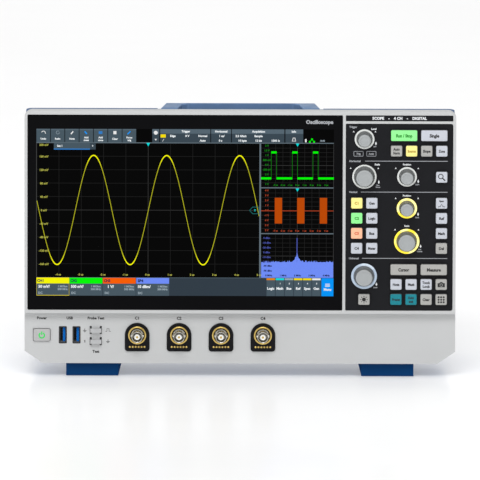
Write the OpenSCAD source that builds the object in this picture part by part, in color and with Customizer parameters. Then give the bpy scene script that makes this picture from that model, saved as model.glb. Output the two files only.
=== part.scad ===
// Bench oscilloscope with a wide touch display, four inputs, a folding carry handle
// and folding front feet.
// +X is to the right seen from the front, +Y is towards the rear and +Z is up.
// The origin is on the bench surface, below the middle of the instrument.
// A "depth" is measured backwards from the front plane of the bezel, and a "drop"
// is measured down from the top of the bezel.

/* [Case] */
// Width of the case
body_w = 372; // [372:1:450]
// Height of the case without its feet
body_h = 222; // [222:1:270]
// Depth from the bezel's front plane to the rear bumpers
case_d = 135; // [128:1:165]
// Height of the feet under the case
foot_h = 12; // [12:0.5:15]
// Wall thickness of the rear housing
wall = 2.5; // [2:0.1:3]
// Radius of the upper corners
corner_r = 7; // [4:0.5:9]
// Width of the chamfers at the lower corners
chamfer_w = 15.7; // [8:0.1:20]
// Height of the chamfers at the lower corners
chamfer_h = 10.7; // [6:0.1:14]
// Slope of the roof towards the rear, in degrees
roof_slope = 12; // [8:1:14]

/* [Front frame] */
// Depth of the front bezel
bezel_d = 10; // [10:0.5:12]
// Thickness of the bezel's front face
face_t = 5; // [4:0.5:5]
// Width of the bezel's rim at both sides
side_rim = 2.5; // [2:0.1:4]
// Height of the bezel's rim along the top
top_rim = 3.3; // [2.5:0.1:5]
// Width of the bar between the display and the key panel
divider_w = 2.4; // [2:0.1:4]
// Width of the key panel
panel_w = 92.7; // [92.7:0.1:100]
// Thickness of the key panel
panel_t = 2.2; // [1.8:0.1:2.4]
// Height of the label strip above the key panel
header_h = 5.2; // [4:0.1:6]
// Height of the bar under the label strip
header_bar = 2.1; // [1.5:0.1:2.5]
// Height of the set-back connector strip
strip_h = 44.9; // [44.9:0.1:50]
// How far the connector strip is set back
strip_back = 6; // [5:0.5:6]
// Wall thickness of the connector strip
strip_t = 3; // [2.5:0.1:3]
// Height of the lip over the connector strip
lip_h = 2.8; // [2:0.1:4]

/* [Display] */
// Thickness of the cover glass
glass_t = 2; // [1.5:0.1:2.2]
// Width of the display module's active area
lcd_w = 256.3; // [200:0.1:257]
// Height of the display module's active area
lcd_h = 145.9; // [110:0.1:150]
// Thickness of the display module
lcd_t = 6; // [5:0.1:6.5]

/* [Keys] */
// Width of a small key
key_w = 10; // [8:0.1:11]
// Height of a small key
key_h = 9.7; // [8:0.1:11]
// Width of a wide key
wide_key_w = 22.9; // [18:0.1:24]
// Corner radius of the keys
key_r = 1.3; // [0.8:0.1:2]
// Pitch of the key columns
key_pitch = 13; // [12.8:0.1:14]
// How far the keys stand proud of the key panel
key_proud = 3; // [2:0.1:4]
// Travel of a key
key_travel = 0.8; // [0.5:0.1:1]
// Gap around a key in its hole
key_gap = 0.35; // [0.2:0.05:0.5]
// Width of the power key
power_w = 14.6; // [12:0.1:18]
// Height of the power key
power_h = 10.8; // [9:0.1:14]

/* [Knobs] */
// How far the knobs stand proud of the bezel
knob_proud = 10; // [8:0.5:14]
// Diameter of the small knobs
small_knob_d = 13.4; // [12:0.1:15]
// Diameter of the large knobs
large_knob_d = 17.6; // [16:0.1:19]
// Diameter of the encoder shafts
shaft_d = 6; // [5:0.1:6]
// Push travel of the encoders
push_travel = 0.6; // [0.4:0.1:0.8]
// Radial clearance of sliding and turning fits
fit_gap = 0.05; // [0.02:0.01:0.08]

/* [Inputs] */
// Pitch of the input channels
channel_pitch = 36.2; // [30:0.1:38]
// Outer diameter of the input barrels
barrel_d = 9.6; // [9.5:0.1:9.8]
// Width of the black plate around each input
plate_w = 21.4; // [18:0.1:24]
// Height of the black plate around each input
plate_h = 24.9; // [22:0.1:26]
// How far the input barrels stand proud of the bezel's front plane
barrel_proud = 6; // [4:0.1:8]

/* [Handle and feet] */
// Width of the handle at its pivots
handle_w = 139.4; // [120:0.1:160]
// Width of each handle arm
arm_w = 14.2; // [12:0.1:16]
// Depth of the grip from front to rear
grip_d = 16; // [12:0.5:18]
// Thickness of the handle
handle_t = 13.5; // [12:0.1:14]
// Diameter of the handle's pivots
pivot_d = 6; // [5:0.1:7]
// Width of a tilt foot
tilt_w = 45.1; // [40:0.1:50]
// Length of a tilt foot behind its pivot
tilt_len = 40; // [30:1:50]
// Distance of the feet from the sides of the case
foot_inset = 35.9; // [34:0.1:45]
// Diameter of the tilt feet's pins
foot_pin_d = 4; // [3:0.1:4.5]

/* [Rear] */
// Hole spacing of the rear mounting pattern
mount_pitch = 100; // [75:25:100]
// Hole diameter of the rear mounting pattern
mount_hole_d = 4.4; // [4.2:0.1:5]
// Size of the fan frame
fan_size = 70; // [60:1:70]
// Depth of the rear bumpers
bumper_d = 6; // [4:0.5:8]

/* [Hidden] */
$fn = 48;
eps = 0.01;
over = 1;

// Levels: the bench is z = 0.
z_top = foot_h + body_h;
z_lip = foot_h + strip_h;
y_front = (knob_proud - case_d) / 2;
left = -body_w / 2;
right = body_w / 2;

// Panes of the front: glass, key panel and label strip.
panel_x1 = right - side_rim;
panel_x0 = panel_x1 - panel_w;
glass_x0 = left + side_rim;
glass_x1 = panel_x0 - divider_w;
glass_z0 = z_lip + lip_h;
glass_z1 = z_top - top_rim;
panel_z0 = glass_z0;
panel_z1 = z_top - top_rim - header_h - header_bar;
pane_r = 1.2;
ledge = 2.5;
pane_gap = 0.15;
header_recess = 0.6;
glass_front = 0.6;
panel_front = 0.8;
panel_back = panel_front + panel_t;

// Display module, centred behind the glass.
lcd_x = (glass_x0 + glass_x1) / 2;
lcd_z = (glass_z0 + glass_z1) / 2;
lcd_border = 3.8;
lcd_front = glass_front + glass_t + 0.1;
lcd_back = lcd_front + lcd_t;

// Boards and chassis.
key_board_front = 9.5;
board_t = 1.6;
chassis_front = 12.6;
chassis_t = 1.4;
chassis_back = chassis_front + chassis_t;
main_board_front = 28;
main_x = [left + 30, left + 232];
main_z = [foot_h + 9, z_top - 42];
post_x = [main_x[0] + 8, main_x[1] - 8];
post_z = [z_lip + 16, main_z[1] - 8];
case_gap = 1.5;
window_size = [34, 60];
window_pitch = 54;

// Key grid: four columns at the right and two at the left of the panel.
key_margin = [9.7, 9.9];
col = [for (i = [0 : 3]) panel_x1 - key_margin[1] - key_pitch * (3 - i)];
left_col = [for (i = [0 : 1]) panel_x0 + key_margin[0] + key_pitch * i];
left_mid = (left_col[0] + left_col[1]) / 2;
knob_x = panel_x0 + 52.9;
row_run = 20.7;
row_trigger = 34.2;
row_horizontal = 57;
row_channel = [79.8, 93, 106.2, 119.3];
row_cursor = 138;
row_tools = [150.9, 164.1];
knob_trigger = 24.2;
knob_position = 84.6;
knob_scale = 113.5;
knob_multi = 144.1;

green_lit = [0.56, 0.98, 0.57];
yellow_lit = [1, 0.94, 0.51];
orange_lit = [1, 0.75, 0.55];
teal = [0, 0.59, 0.65];
light_grey = [0.84, 0.85, 0.88];
mid_grey = [0.73, 0.74, 0.71];
dark_grey = [0.15, 0.155, 0.17];

// Each key: name, centre x, drop of its centre, width, colour.
KEYS = [
    ["key_run_stop", (col[0] + col[1]) / 2, row_run, wide_key_w, green_lit],
    ["key_single", (col[2] + col[3]) / 2, row_run, wide_key_w, light_grey],
    ["key_auto_norm", col[0], row_trigger, key_w, mid_grey],
    ["key_source", col[1], row_trigger, key_w, yellow_lit],
    ["key_slope", col[2], row_trigger, key_w, mid_grey],
    ["key_zone", col[3], row_trigger, key_w, light_grey],
    ["key_zoom", col[3], row_horizontal, key_w, light_grey],
    ["key_channel_1", left_col[0], row_channel[0], key_w, yellow_lit],
    ["key_channel_2", left_col[0], row_channel[1], key_w, green_lit],
    ["key_channel_3", left_col[0], row_channel[2], key_w, orange_lit],
    ["key_channel_4", left_col[0], row_channel[3], key_w, light_grey],
    ["key_generator", left_col[1], row_channel[0], key_w, light_grey],
    ["key_logic", left_col[1], row_channel[1], key_w, light_grey],
    ["key_bus", left_col[1], row_channel[2], key_w, light_grey],
    ["key_meter", left_col[1], row_channel[3], key_w, light_grey],
    ["key_spectrum", col[3], row_channel[0], key_w, light_grey],
    ["key_reference", col[3], row_channel[1], key_w, light_grey],
    ["key_math", col[3], row_channel[2], key_w, light_grey],
    ["key_delete", col[3], row_channel[3], key_w, mid_grey],
    ["key_cursor", (col[0] + col[1]) / 2, row_cursor, wide_key_w, mid_grey],
    ["key_measure", (col[2] + col[3]) / 2, row_cursor, wide_key_w, mid_grey],
    ["key_annotate", col[0], row_tools[0], key_w, light_grey],
    ["key_mask", col[1], row_tools[0], key_w, light_grey],
    ["key_touch_lock", col[2], row_tools[0], key_w, light_grey],
    ["key_camera", col[3], row_tools[0], key_w, mid_grey],
    ["key_preset", col[0], row_tools[1], key_w, teal],
    ["key_autoset", col[1], row_tools[1], key_w, teal],
    ["key_clear", col[2], row_tools[1], key_w, mid_grey],
    ["key_apps", col[3], row_tools[1], key_w, mid_grey],
    ["key_brightness", left_mid, row_tools[1], key_w, mid_grey],
];

// Each knob: name, centre x, drop of its centre, diameter.
KNOBS = [
    ["trigger_level", left_mid, knob_trigger, small_knob_d],
    ["horizontal_scale", left_mid, row_horizontal, large_knob_d],
    ["horizontal_position", knob_x, row_horizontal, small_knob_d],
    ["vertical_position", knob_x, knob_position, small_knob_d],
    ["vertical_scale", knob_x, knob_scale, large_knob_d],
    ["multi_purpose", left_mid, knob_multi, large_knob_d],
];
lcd_pad = [10, 8];
board_pad = 6;
chassis_flange = 9;
post_r = 3;
post_inset = 5;
// Parts on the boards: width, height and depth; capacitors: radius, depth and pitch.
can_size = [26, 46, 7];
sink_size = [48, 44, 22];
sink_base = 6;
sink_rise = 78;
fin_count = 12;
fin_pitch = 4.25;
fin_t = 1.2;
memory_size = [10, 14, 3];
memory_pitch = 14;
supply_front = 34;
supply_h = 106;
coil_size = [32, 32, 26];
supply_sink = [8, 30];
large_cap = [9, 32, 24];
small_cap = [5, 20, 13];
knob_gap = 1.2;
knob_wall = 2.6;
knob_taper = 0.86;
knob_edge = 0.9;
shaft_back = 8.2;
shaft_room = 0.8;
shaft_inset = 2;
encoder_front = 4.9;
encoder_w = 12;

// Key caps: a flange behind the panel, then a stem that reaches the switch.
flange_gap = 0.2;
flange_t = 1;
flange_rim = 0.65;
stem_w = 3;
switch_front = 7.5;
switch_w = 6;
plunger_r = 1.7;
plunger_h = 0.5;
stem_gap = 0.2;
key_front = panel_front - key_proud;
flange_front = panel_back + flange_gap;
stem_end = switch_front - plunger_h - stem_gap - key_travel;

// Connector strip.
strip_front = strip_back;
strip_rear = strip_back + strip_t;
strip_z = z_lip - 20.1;
power_x = left + 14.9;
power_front = strip_front - 1.8;
power_board = 18;
power_board_front = 17;
usb_x = [left + 33.1, left + 44.9];
usb_hole = [6.5, 15.2];
usb_shell = [5.7, 13.6];
usb_shell_t = 0.4;
usb_tongue = [1.9, 11.8];
terminal_x = left + 61.55;
terminal_span = 8.7;
terminal_z = [z_lip - 15.8, z_lip - 25.6];
terminal_slot = [1.7, 7];
terminal_t = 0.8;
loop_h = 3.6;
terminal_front = strip_front - 3.4;
channel_x = [for (i = [0 : 3]) left + 97.3 + channel_pitch * i];
plate_t = 1.2;
plate_r = 2.8;
neck_r = 4.5;
barrel_bore_r = 4.05;
barrel_len = 4.2;
insulator_r = 2.4;
body_r = 6;
body_gap = 0.3;
lug_r = 1;
lug_reach = 5.5;

// Roof, handle recess and handle.
roof_z = z_top - 0.3;
roof_flat = bezel_d + 7.5;
rear_d = case_d - bumper_d;
rear_chamfer = 12;
housing_inset = 1;
side_taper_start = 45;
side_taper = 9;
floor_z = foot_h + housing_inset;
handle_top = z_top - 1;
island_drop = 2.9;
island_top = handle_top - island_drop;
grip_front = roof_flat + 30.5;
grip_back = grip_front + grip_d;
arm_slant = 5;
handle_corner = 5;
handle_end_r = handle_t / 2;
pivot_depth = roof_flat + handle_end_r + 0.6;
pivot_z = handle_top - handle_end_r;
recess_x = handle_w / 2 + 1.8;
recess_back = grip_back + 2;
recess_floor = handle_top - handle_t - 5.5;
scoop_x = 42;
scoop_len = 20;
pivot_len = 4.5;
tub_x = recess_x + pivot_len + wall;
island_gap = 2.2;

// Front feet: a block with a pin through a slot, on a lug of the housing.
foot_x1 = right - foot_inset;
foot_x0 = foot_x1 - tilt_w;
foot_mid = (foot_x0 + foot_x1) / 2;
foot_front = bezel_d + 1;
foot_block = 12;
foot_face_t = 2.2;
foot_pivot_depth = foot_front + 7;
foot_pivot_z = foot_h - 5.8;
foot_top = foot_h - 0.4;
foot_slant = 2.9;
foot_slot = 11.1;
lug_w = 10.5;
foot_lug_r = 3.9;
lug_neck_h = 3.2;
lug_riser = [foot_pivot_depth + 7, foot_pivot_depth + 14];
foot_slot_end = lug_riser[1] + 1.5;
paddle_t = 5;
paddle_inset = 2;
foot_swing_r = 9;
foot_well_back = foot_pivot_depth + 6.7;
foot_well_top = foot_pivot_z + foot_swing_r + 0.4;
foot_well_gap = [0.8, 0.6];
rear_foot = [98, 118];

// Rear face and vents.
vent_w = 2.6;
side_vent_start = 38;
side_vent_pitch = 6;
side_vent_drop = 92;
side_vent_h = 44;
rear_vent_pitch = 5;
bumper_size = [14, 22];
bumper_r = 3;
bumper_x = right - 26;
bumper_z = [foot_h + 30, z_top - 52];
mount_z = 118;
mount_boss_r = 5;
mount_depth = 10;
fan_x = -102;
fan_z = mount_z;
fan_t = 20;
fan_front = rear_d - wall - fan_t;
fan_bore_r = fan_size / 2 - 2.5;
rotor_r = fan_bore_r - 1.2;
rotor_hub_r = 12;
rotor_shaft_r = 1.5;
rotor_blades = 7;
port_z = foot_h + 26;
riser_top = port_z - 7;
lan_x = 24;
hdmi_x = -4;
rear_usb_x = [-28, -46];
inlet_x = 118;
inlet_z = foot_h + 34;
inlet_outer = [27, 20];
inlet_inner = [24, 17];
lan_outer = [16, 13.4];
lan_inner = [11.8, 8];
hdmi_outer = [15, 6];
hdmi_inner = [14, 4.6];
rear_usb_outer = [13.6, 6.4];
rear_usb_inner = [12.6, 5.2];
port_len = 18;
port_gap = 0.3;

KNOB_NODES = [for (k = KNOBS) str(k[0], "_knob")];
SHAFT_NODES = [for (k = KNOBS) str(k[0], "_shaft")];

// ---------------------------------------------------------------- helpers

// Extrudes an outline drawn in X and Z between two depths.
module slab(d0, d1) {
    translate([0, y_front + d1, 0]) rotate([90, 0, 0]) linear_extrude(d1 - d0) children();
}

// Extrudes an outline drawn in depth and Z between two X values.
module side_slab(x0, x1) {
    translate([x0, y_front, 0]) rotate([90, 0, 90]) linear_extrude(x1 - x0) children();
}

// Extrudes an outline drawn in X and depth between two heights.
module plan_slab(z0, z1) {
    translate([0, y_front, z0]) linear_extrude(z1 - z0) children();
}

// A box from ranges in X, depth and Z.
module block(x, d, z) {
    translate([x[0], y_front + d[0], z[0]]) cube([x[1] - x[0], d[1] - d[0], z[1] - z[0]]);
}

// A round bar along Y.
module bar(x, z, r, d0, d1) {
    translate([x, y_front + d1, z]) rotate([90, 0, 0]) cylinder(r = r, h = d1 - d0);
}

// A round bar along X.
module cross_bar(depth, z, r, x0, x1) {
    translate([x0, y_front + depth, z]) rotate([0, 90, 0]) cylinder(r = r, h = x1 - x0);
}

// A rectangle with round corners, centred on a point.
module round_rect(size, r, at) {
    translate(at) {
        square([size[0] - 2 * r, size[1]], center = true);
        square([size[0], size[1] - 2 * r], center = true);
        for (sx = [-1, 1], sy = [-1, 1])
            translate([sx * (size[0] / 2 - r), sy * (size[1] / 2 - r)]) circle(r);
    }
}

// A pane whose left and right corners have radii of their own.
module pane(x0, x1, z0, z1, r0, r1) {
    translate([x0 + r0, z0]) square([x1 - r1 - x0 - r0, z1 - z0]);
    translate([x0, z0 + r0]) square([r0 + eps, z1 - z0 - 2 * r0]);
    translate([x1 - r1 - eps, z0 + r1]) square([r1 + eps, z1 - z0 - 2 * r1]);
    for (z = [z0 + r0, z1 - r0]) translate([x0 + r0, z]) circle(r0);
    for (z = [z0 + r1, z1 - r1]) translate([x1 - r1, z]) circle(r1);
}

// The case seen from the front, drawn inset from its outer face.
module front_outline(inset) {
    x1 = body_w / 2 - inset;
    z0 = foot_h + inset;
    z1 = z_top - inset;
    r = max(corner_r - inset, 1);
    polygon([
        [chamfer_w - x1, z0], [x1 - chamfer_w, z0], [x1, z0 + chamfer_h], [x1, z1 - r],
        [x1 - r, z1], [r - x1, z1], [-x1, z1 - r], [-x1, z0 + chamfer_h],
    ]);
    for (sx = [-1, 1]) translate([sx * (x1 - r), z1 - r]) circle(r);
}

// ---------------------------------------------------------------- front

module glass_outline(gap) {
    pane(glass_x0 + gap, glass_x1 - gap, glass_z0 + gap, glass_z1 - gap, pane_r, 1);
}

module panel_outline(gap) {
    pane(panel_x0 + gap, panel_x1 - gap, panel_z0 + gap, panel_z1 - gap, 1, 2);
}

module strip_holes() {
    round_rect([power_w + 2 * key_gap, power_h + 2 * key_gap], key_r, [power_x, strip_z]);
    for (x = usb_x) round_rect(usb_hole, 0.6, [x, strip_z]);
    for (z = terminal_z, s = [-1, 1])
        translate([terminal_x + s * terminal_span / 2, z]) square(terminal_slot, center = true);
    for (x = channel_x) translate([x, strip_z]) circle(body_r + body_gap);
}

module front_bezel() {
    color([0.83, 0.83, 0.83]) difference() {
        slab(0, bezel_d) front_outline(0);
        block([left - over, right + over], [-over, strip_front], [0, z_lip]);
        intersection() {
            slab(face_t, bezel_d + over) front_outline(wall);
            block([left, right], [0, bezel_d + over], [z_lip + lip_h, z_top]);
        }
        intersection() {
            slab(strip_rear, bezel_d + over) front_outline(wall);
            block([left, right], [0, bezel_d + over], [0, z_lip + lip_h + over]);
        }
        slab(-over, glass_front + glass_t) glass_outline(0);
        slab(0, bezel_d) glass_outline(ledge);
        slab(-over, panel_back) panel_outline(0);
        slab(0, bezel_d) panel_outline(ledge - 0.5);
        slab(-over, header_recess)
            pane(panel_x0, panel_x1, glass_z1 - header_h, glass_z1, 0.5, pane_r / 2);
        slab(0, bezel_d) strip_holes();
    }
}

module display_glass() {
    color([0.05, 0.05, 0.06]) slab(glass_front, glass_front + glass_t) glass_outline(pane_gap);
}

module lcd_module() {
    size = [lcd_w + 2 * lcd_border, lcd_h + 2 * lcd_border];
    color([0.1, 0.1, 0.12]) difference() {
        slab(lcd_front, lcd_back) round_rect(size, 1.5, [lcd_x, lcd_z]);
        block([lcd_x - 100, lcd_x + 100], [lcd_back - 1, lcd_back + over], [lcd_z - 60, lcd_z + 60]);
    }
}

module key_hole(x, z, w, h) {
    round_rect([w + 2 * key_gap, h + 2 * key_gap], key_r + key_gap, [x, z]);
}

module key_panel() {
    color(dark_grey) difference() {
        slab(panel_front, panel_back) panel_outline(pane_gap);
        slab(panel_front - over, panel_back + over) {
            for (k = KEYS) key_hole(k[1], z_top - k[2], k[3], key_h);
            for (k = KNOBS) translate([k[1], z_top - k[2]]) circle(shaft_d / 2 + shaft_room);
        }
    }
}

// One push key: cap, flange behind the panel and stem to the switch.
module push_key(k) {
    at = [k[1], z_top - k[2]];
    color(k[4]) {
        slab(key_front, flange_front + eps) round_rect([k[3], key_h], key_r, at);
        slab(flange_front, flange_front + flange_t)
            round_rect([k[3] + 2 * flange_rim, key_h + 2 * flange_rim], key_r, at);
        slab(flange_front, stem_end) translate(at) square(stem_w, center = true);
    }
}

module power_key() {
    at = [power_x, strip_z];
    color([0.6, 0.61, 0.62]) {
        slab(power_front, strip_rear + flange_gap + eps) round_rect([power_w, power_h], key_r, at);
        slab(strip_rear + flange_gap, strip_rear + flange_gap + flange_t)
            round_rect([power_w + 1.6, power_h + 1.6], key_r, at);
        slab(strip_rear, strip_rear + 4) translate(at) square(stem_w, center = true);
    }
}

// ---------------------------------------------------------------- knobs

// One knob, bored to turn on its encoder shaft.
module knob(k) {
    r = k[3] / 2;
    tip_r = r * knob_taper;
    tip = -knob_proud;
    foot = panel_front - knob_gap;
    bore_front = tip + knob_wall;
    color([0.66, 0.67, 0.675]) translate([k[1], y_front, z_top - k[2]]) rotate([90, 0, 0])
        difference() {
            rotate_extrude() polygon([
                [0, -tip], [tip_r - knob_edge, -tip], [tip_r, -tip - knob_edge], [r, -foot],
                [0, -foot],
            ]);
            translate([0, 0, -foot - over])
                cylinder(d = shaft_d + 2 * fit_gap, h = foot - bore_front + over);
        }
}

module encoder_shaft(k) {
    color([0.75, 0.75, 0.77])
        bar(k[1], z_top - k[2], shaft_d / 2, -knob_proud + knob_wall + shaft_inset / 4, shaft_back);
}

// The board behind the key panel with its switches and encoders.
module key_board() {
    board_x = [panel_x0 + 4, panel_x1 - 2];
    board_z = [panel_z0 + 4, panel_z1 - 2];
    color([0.1, 0.35, 0.2]) {
        block(board_x, [key_board_front, key_board_front + board_t], board_z);
        for (k = KEYS) translate([k[1], 0, z_top - k[2]]) tact_switch(switch_front, key_board_front);
        for (k = KNOBS) difference() {
            union() {
                block([k[1] - encoder_w / 2, k[1] + encoder_w / 2],
                      [encoder_front, key_board_front + eps],
                      [z_top - k[2] - encoder_w / 2, z_top - k[2] + encoder_w / 2]);
                bar(k[1], z_top - k[2], shaft_d / 2 + 0.55, panel_back + 0.3, encoder_front + eps);
            }
            bar(k[1], z_top - k[2], shaft_d / 2 + fit_gap, 0, shaft_back + push_travel + 0.3);
        }
        // The small board behind the power key.
        slab(power_board_front, power_board_front + board_t)
            translate([power_x, strip_z]) square(power_board, center = true);
        translate([power_x, 0, strip_z]) tact_switch(power_board_front - 2.1, power_board_front);
    }
}

module tact_switch(front, board) {
    block([-switch_w / 2, switch_w / 2], [front, board + eps], [-switch_w / 2, switch_w / 2]);
    bar(0, 0, plunger_r, front - plunger_h, front + eps);
}

// ---------------------------------------------------------------- inside

// Sheet-metal frame behind the display: plate, pads for the boards and posts.
module chassis() {
    plate_x = [left + wall + housing_inset + case_gap, right - wall - housing_inset - case_gap];
    plate_z = [z_lip + 6, roof_z - wall - case_gap];
    r = 2;
    w = plate_x[1] - plate_x[0];
    h = plate_z[1] - plate_z[0];
    lcd_pad_x = [lcd_x - lcd_w / 2, lcd_x + lcd_w / 2 - lcd_pad[0]];
    board_pad_x = [panel_x0 + 8, panel_x1 - 12];
    board_pad_z = [panel_z0 + 7, panel_z1 - 14];
    bracket_x = [power_x - power_board / 2, power_x + power_board / 2];
    color([0.7, 0.71, 0.72]) {
        difference() {
            slab(chassis_front, chassis_back)
                round_rect([w, h], r, [0, (plate_z[0] + plate_z[1]) / 2]);
            slab(0, chassis_back + over) {
                for (i = [0 : 3])
                    round_rect(window_size, 6, [lcd_x + window_pitch * (i - 1.5), lcd_z]);
            }
        }
        for (x = lcd_pad_x, z = [lcd_z - lcd_h / 2, lcd_z + lcd_h / 2 - lcd_pad[1]])
            block([x, x + lcd_pad[0]], [lcd_back, chassis_front + eps], [z, z + lcd_pad[1]]);
        for (x = board_pad_x, z = board_pad_z)
            block([x, x + board_pad], [key_board_front + board_t, chassis_front + eps],
                  [z, z + board_pad]);
        for (x = post_x, z = post_z) bar(x, z, post_r, chassis_back - eps, main_board_front);
        // Folded flanges that stiffen the plate; the top one leaves room for the handle's recess.
        flange_d = [chassis_back - eps, chassis_back + chassis_flange];
        block([plate_x[0] + 8, plate_x[1] - 8], flange_d, [plate_z[0], plate_z[0] + chassis_t]);
        for (x = [[plate_x[0] + 8, -tub_x - 4], [tub_x + 4, plate_x[1] - 8]])
            block(x, flange_d, [plate_z[1] - chassis_t, plate_z[1]]);
        // Bracket that holds the power key's small board.
        block(bracket_x, [chassis_front, chassis_back],
              [strip_z + power_board / 2, plate_z[0] + over]);
        block(bracket_x, [chassis_front, 20],
              [strip_z + power_board / 2, strip_z + power_board / 2 + chassis_t]);
    }
}

module fins(x0, d, z) {
    for (i = [0 : fin_count - 1]) {
        x = x0 + fin_pitch * i;
        block([x, x + fin_t], d, z);
    }
}

module main_board() {
    back = main_board_front + board_t;
    sink_x = (main_x[0] + main_x[1] - sink_size[0]) / 2;
    sink_z = [main_z[0] + sink_rise, main_z[0] + sink_rise + sink_size[1]];
    memory_z = [sink_z[1] + 8, sink_z[1] + 8 + memory_size[1]];
    color([0.08, 0.3, 0.18]) {
        block(main_x, [main_board_front, back], main_z);
        // Screening cans over the input amplifiers.
        for (x = channel_x)
            block([x - can_size[0] / 2, x + can_size[0] / 2], [back - eps, back + can_size[2]],
                  [main_z[0] + 8, main_z[0] + 8 + can_size[1]]);
        // Heat sink over the processor.
        block([sink_x, sink_x + sink_size[0]], [back - eps, back + sink_base], sink_z);
        fins(sink_x, [back + sink_base - eps, back + sink_size[2]], sink_z);
        // Memory and supply parts.
        for (i = [0 : 3]) {
            x = main_x[0] + 14 + memory_pitch * i;
            block([x, x + memory_size[0]], [back - eps, back + memory_size[2]], memory_z);
        }
        // Interface board, carried by the shields' edge connector.
        block([rear_usb_x[1] - 12, lan_x + 14], [back - eps, rear_d - wall - 1],
              [riser_top - board_t, riser_top]);
    }
}

module power_supply() {
    x = [main_x[1] + 12, right - 26];
    z = [z_lip + 12, z_lip + 12 + supply_h];
    front = supply_front;
    back = front + board_t;
    coil_x = x[0] + 8;
    coil_z = z[0] + 34;
    sink_x = x[0] + 50;
    color([0.75, 0.65, 0.3]) {
        block(x, [front, back], z);
        // Transformer and heat sink.
        block([coil_x, coil_x + coil_size[0]], [back - eps, back + coil_size[2]],
              [coil_z, coil_z + coil_size[1]]);
        block([sink_x, sink_x + supply_sink[0]], [back - eps, back + supply_sink[1]],
              [z[0] + 10, z[1] - 16]);
        // Large and small capacitors.
        for (i = [0 : 1]) bar(x[0] + 20 + large_cap[2] * i, z[1] - 20, large_cap[0],
                              back - eps, back + large_cap[1]);
        for (i = [0 : 2]) bar(x[0] + 14 + small_cap[2] * i, z[0] + 18, small_cap[0],
                              back - eps, back + small_cap[1]);
        // Posts from the chassis.
        for (px = [x[0] + post_inset, x[1] - post_inset], pz = [z[0] + post_inset, z[1] - post_inset])
            bar(px, pz, post_r, chassis_back, front + eps);
    }
}

module fan_frame() {
    half = fan_size / 2;
    color([0.12, 0.12, 0.13]) difference() {
        union() {
            difference() {
                slab(fan_front, fan_front + fan_t) round_rect([fan_size, fan_size], 4, [fan_x, fan_z]);
                bar(fan_x, fan_z, fan_bore_r, fan_front - over, fan_front + fan_t + over);
            }
            // Three arms and the bearing cup at the rear of the frame.
            for (a = [90, 210, 330]) translate([fan_x, 0, fan_z]) rotate([0, a, 0])
                block([0, fan_bore_r + 1], [fan_front + fan_t - 2.5, fan_front + fan_t], [-1.5, 1.5]);
            bar(fan_x, fan_z, rotor_hub_r, fan_front + fan_t - 2.5, fan_front + fan_t);
            bar(fan_x, fan_z, 4, fan_front + fan_t - 9, fan_front + fan_t);
        }
        bar(fan_x, fan_z, rotor_shaft_r + fit_gap, fan_front, fan_front + fan_t - 0.8);
        for (sx = [-1, 1], sz = [-1, 1])
            bar(fan_x + sx * (half - 4), fan_z + sz * (half - 4), 1.7,
                fan_front - over, fan_front + fan_t + over);
    }
}

module fan_rotor() {
    hub = [fan_front + 1, fan_front + fan_t - 3.5];
    color([0.16, 0.16, 0.17]) translate([fan_x, 0, fan_z]) {
        difference() {
            bar(0, 0, rotor_hub_r, hub[0], hub[1]);
            bar(0, 0, rotor_hub_r - 1.5, hub[0] + 1.5, hub[1] + over);
        }
        bar(0, 0, rotor_shaft_r, hub[0] + 1, fan_front + fan_t - 1.3);
        for (i = [0 : rotor_blades - 1]) rotate([0, i * 360 / rotor_blades, 0])
            translate([rotor_hub_r - 0.6, y_front + (hub[0] + hub[1]) / 2, 0]) rotate([38, 0, 0])
                translate([0, -7.5, -0.6]) cube([rotor_r - rotor_hub_r, 15, 1.2]);
    }
}

// ---------------------------------------------------------------- inputs

module plate_outline(x) {
    r = plate_w / 2;
    z0 = strip_z + r - plate_h;
    translate([x, strip_z]) circle(r);
    translate([x - r, z0 + plate_r]) square([plate_w, strip_z - z0 - plate_r]);
    translate([x - r + plate_r, z0]) square([plate_w - 2 * plate_r, plate_r + eps]);
    for (s = [-1, 1]) translate([x + s * (r - plate_r), z0 + plate_r]) circle(plate_r);
}

module channel_plates() {
    color([0.04, 0.04, 0.05]) for (x = channel_x) difference() {
        slab(strip_front - plate_t, strip_front) plate_outline(x);
        bar(x, strip_z, neck_r + 0.8, 0, strip_front + over);
    }
}

// Four coaxial inputs: barrel, bayonet lugs, insulator and panel body.
module bnc_jacks() {
    color([0.75, 0.72, 0.62]) for (x = channel_x) translate([x, 0, strip_z]) {
        tip = -barrel_proud;
        difference() {
            union() {
                bar(0, 0, barrel_d / 2, tip, tip + barrel_len);
                bar(0, 0, neck_r, tip + barrel_len - eps, strip_front + eps);
                cross_bar(tip + barrel_len + 1.6, 0, lug_r, -lug_reach, lug_reach);
                bar(0, 0, body_r, strip_front, main_board_front - 0.2);
                slab(strip_rear + 0.1, strip_rear + 2.1) round_rect([14, 14], 1, [0, 0]);
            }
            bar(0, 0, barrel_bore_r, tip - over, strip_front);
        }
        difference() {
            bar(0, 0, insulator_r, tip + 0.4, strip_front + eps);
            bar(0, 0, 0.7, tip - over, tip + 6);
        }
    }
}

// A socket: a box with an opening from one end.
module socket(outer, inner, at, d0, d1, floor_t) {
    difference() {
        slab(d0, d1) translate(at) square(outer, center = true);
        slab(d0 - over, d1 - floor_t) translate(at) square(inner, center = true);
    }
}

module rear_socket(outer, inner, at, floor_t) {
    difference() {
        slab(rear_d - port_len, rear_d + 0.3) translate(at) square(outer, center = true);
        slab(rear_d - port_len + floor_t, rear_d + over) translate(at) square(inner, center = true);
    }
}

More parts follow.
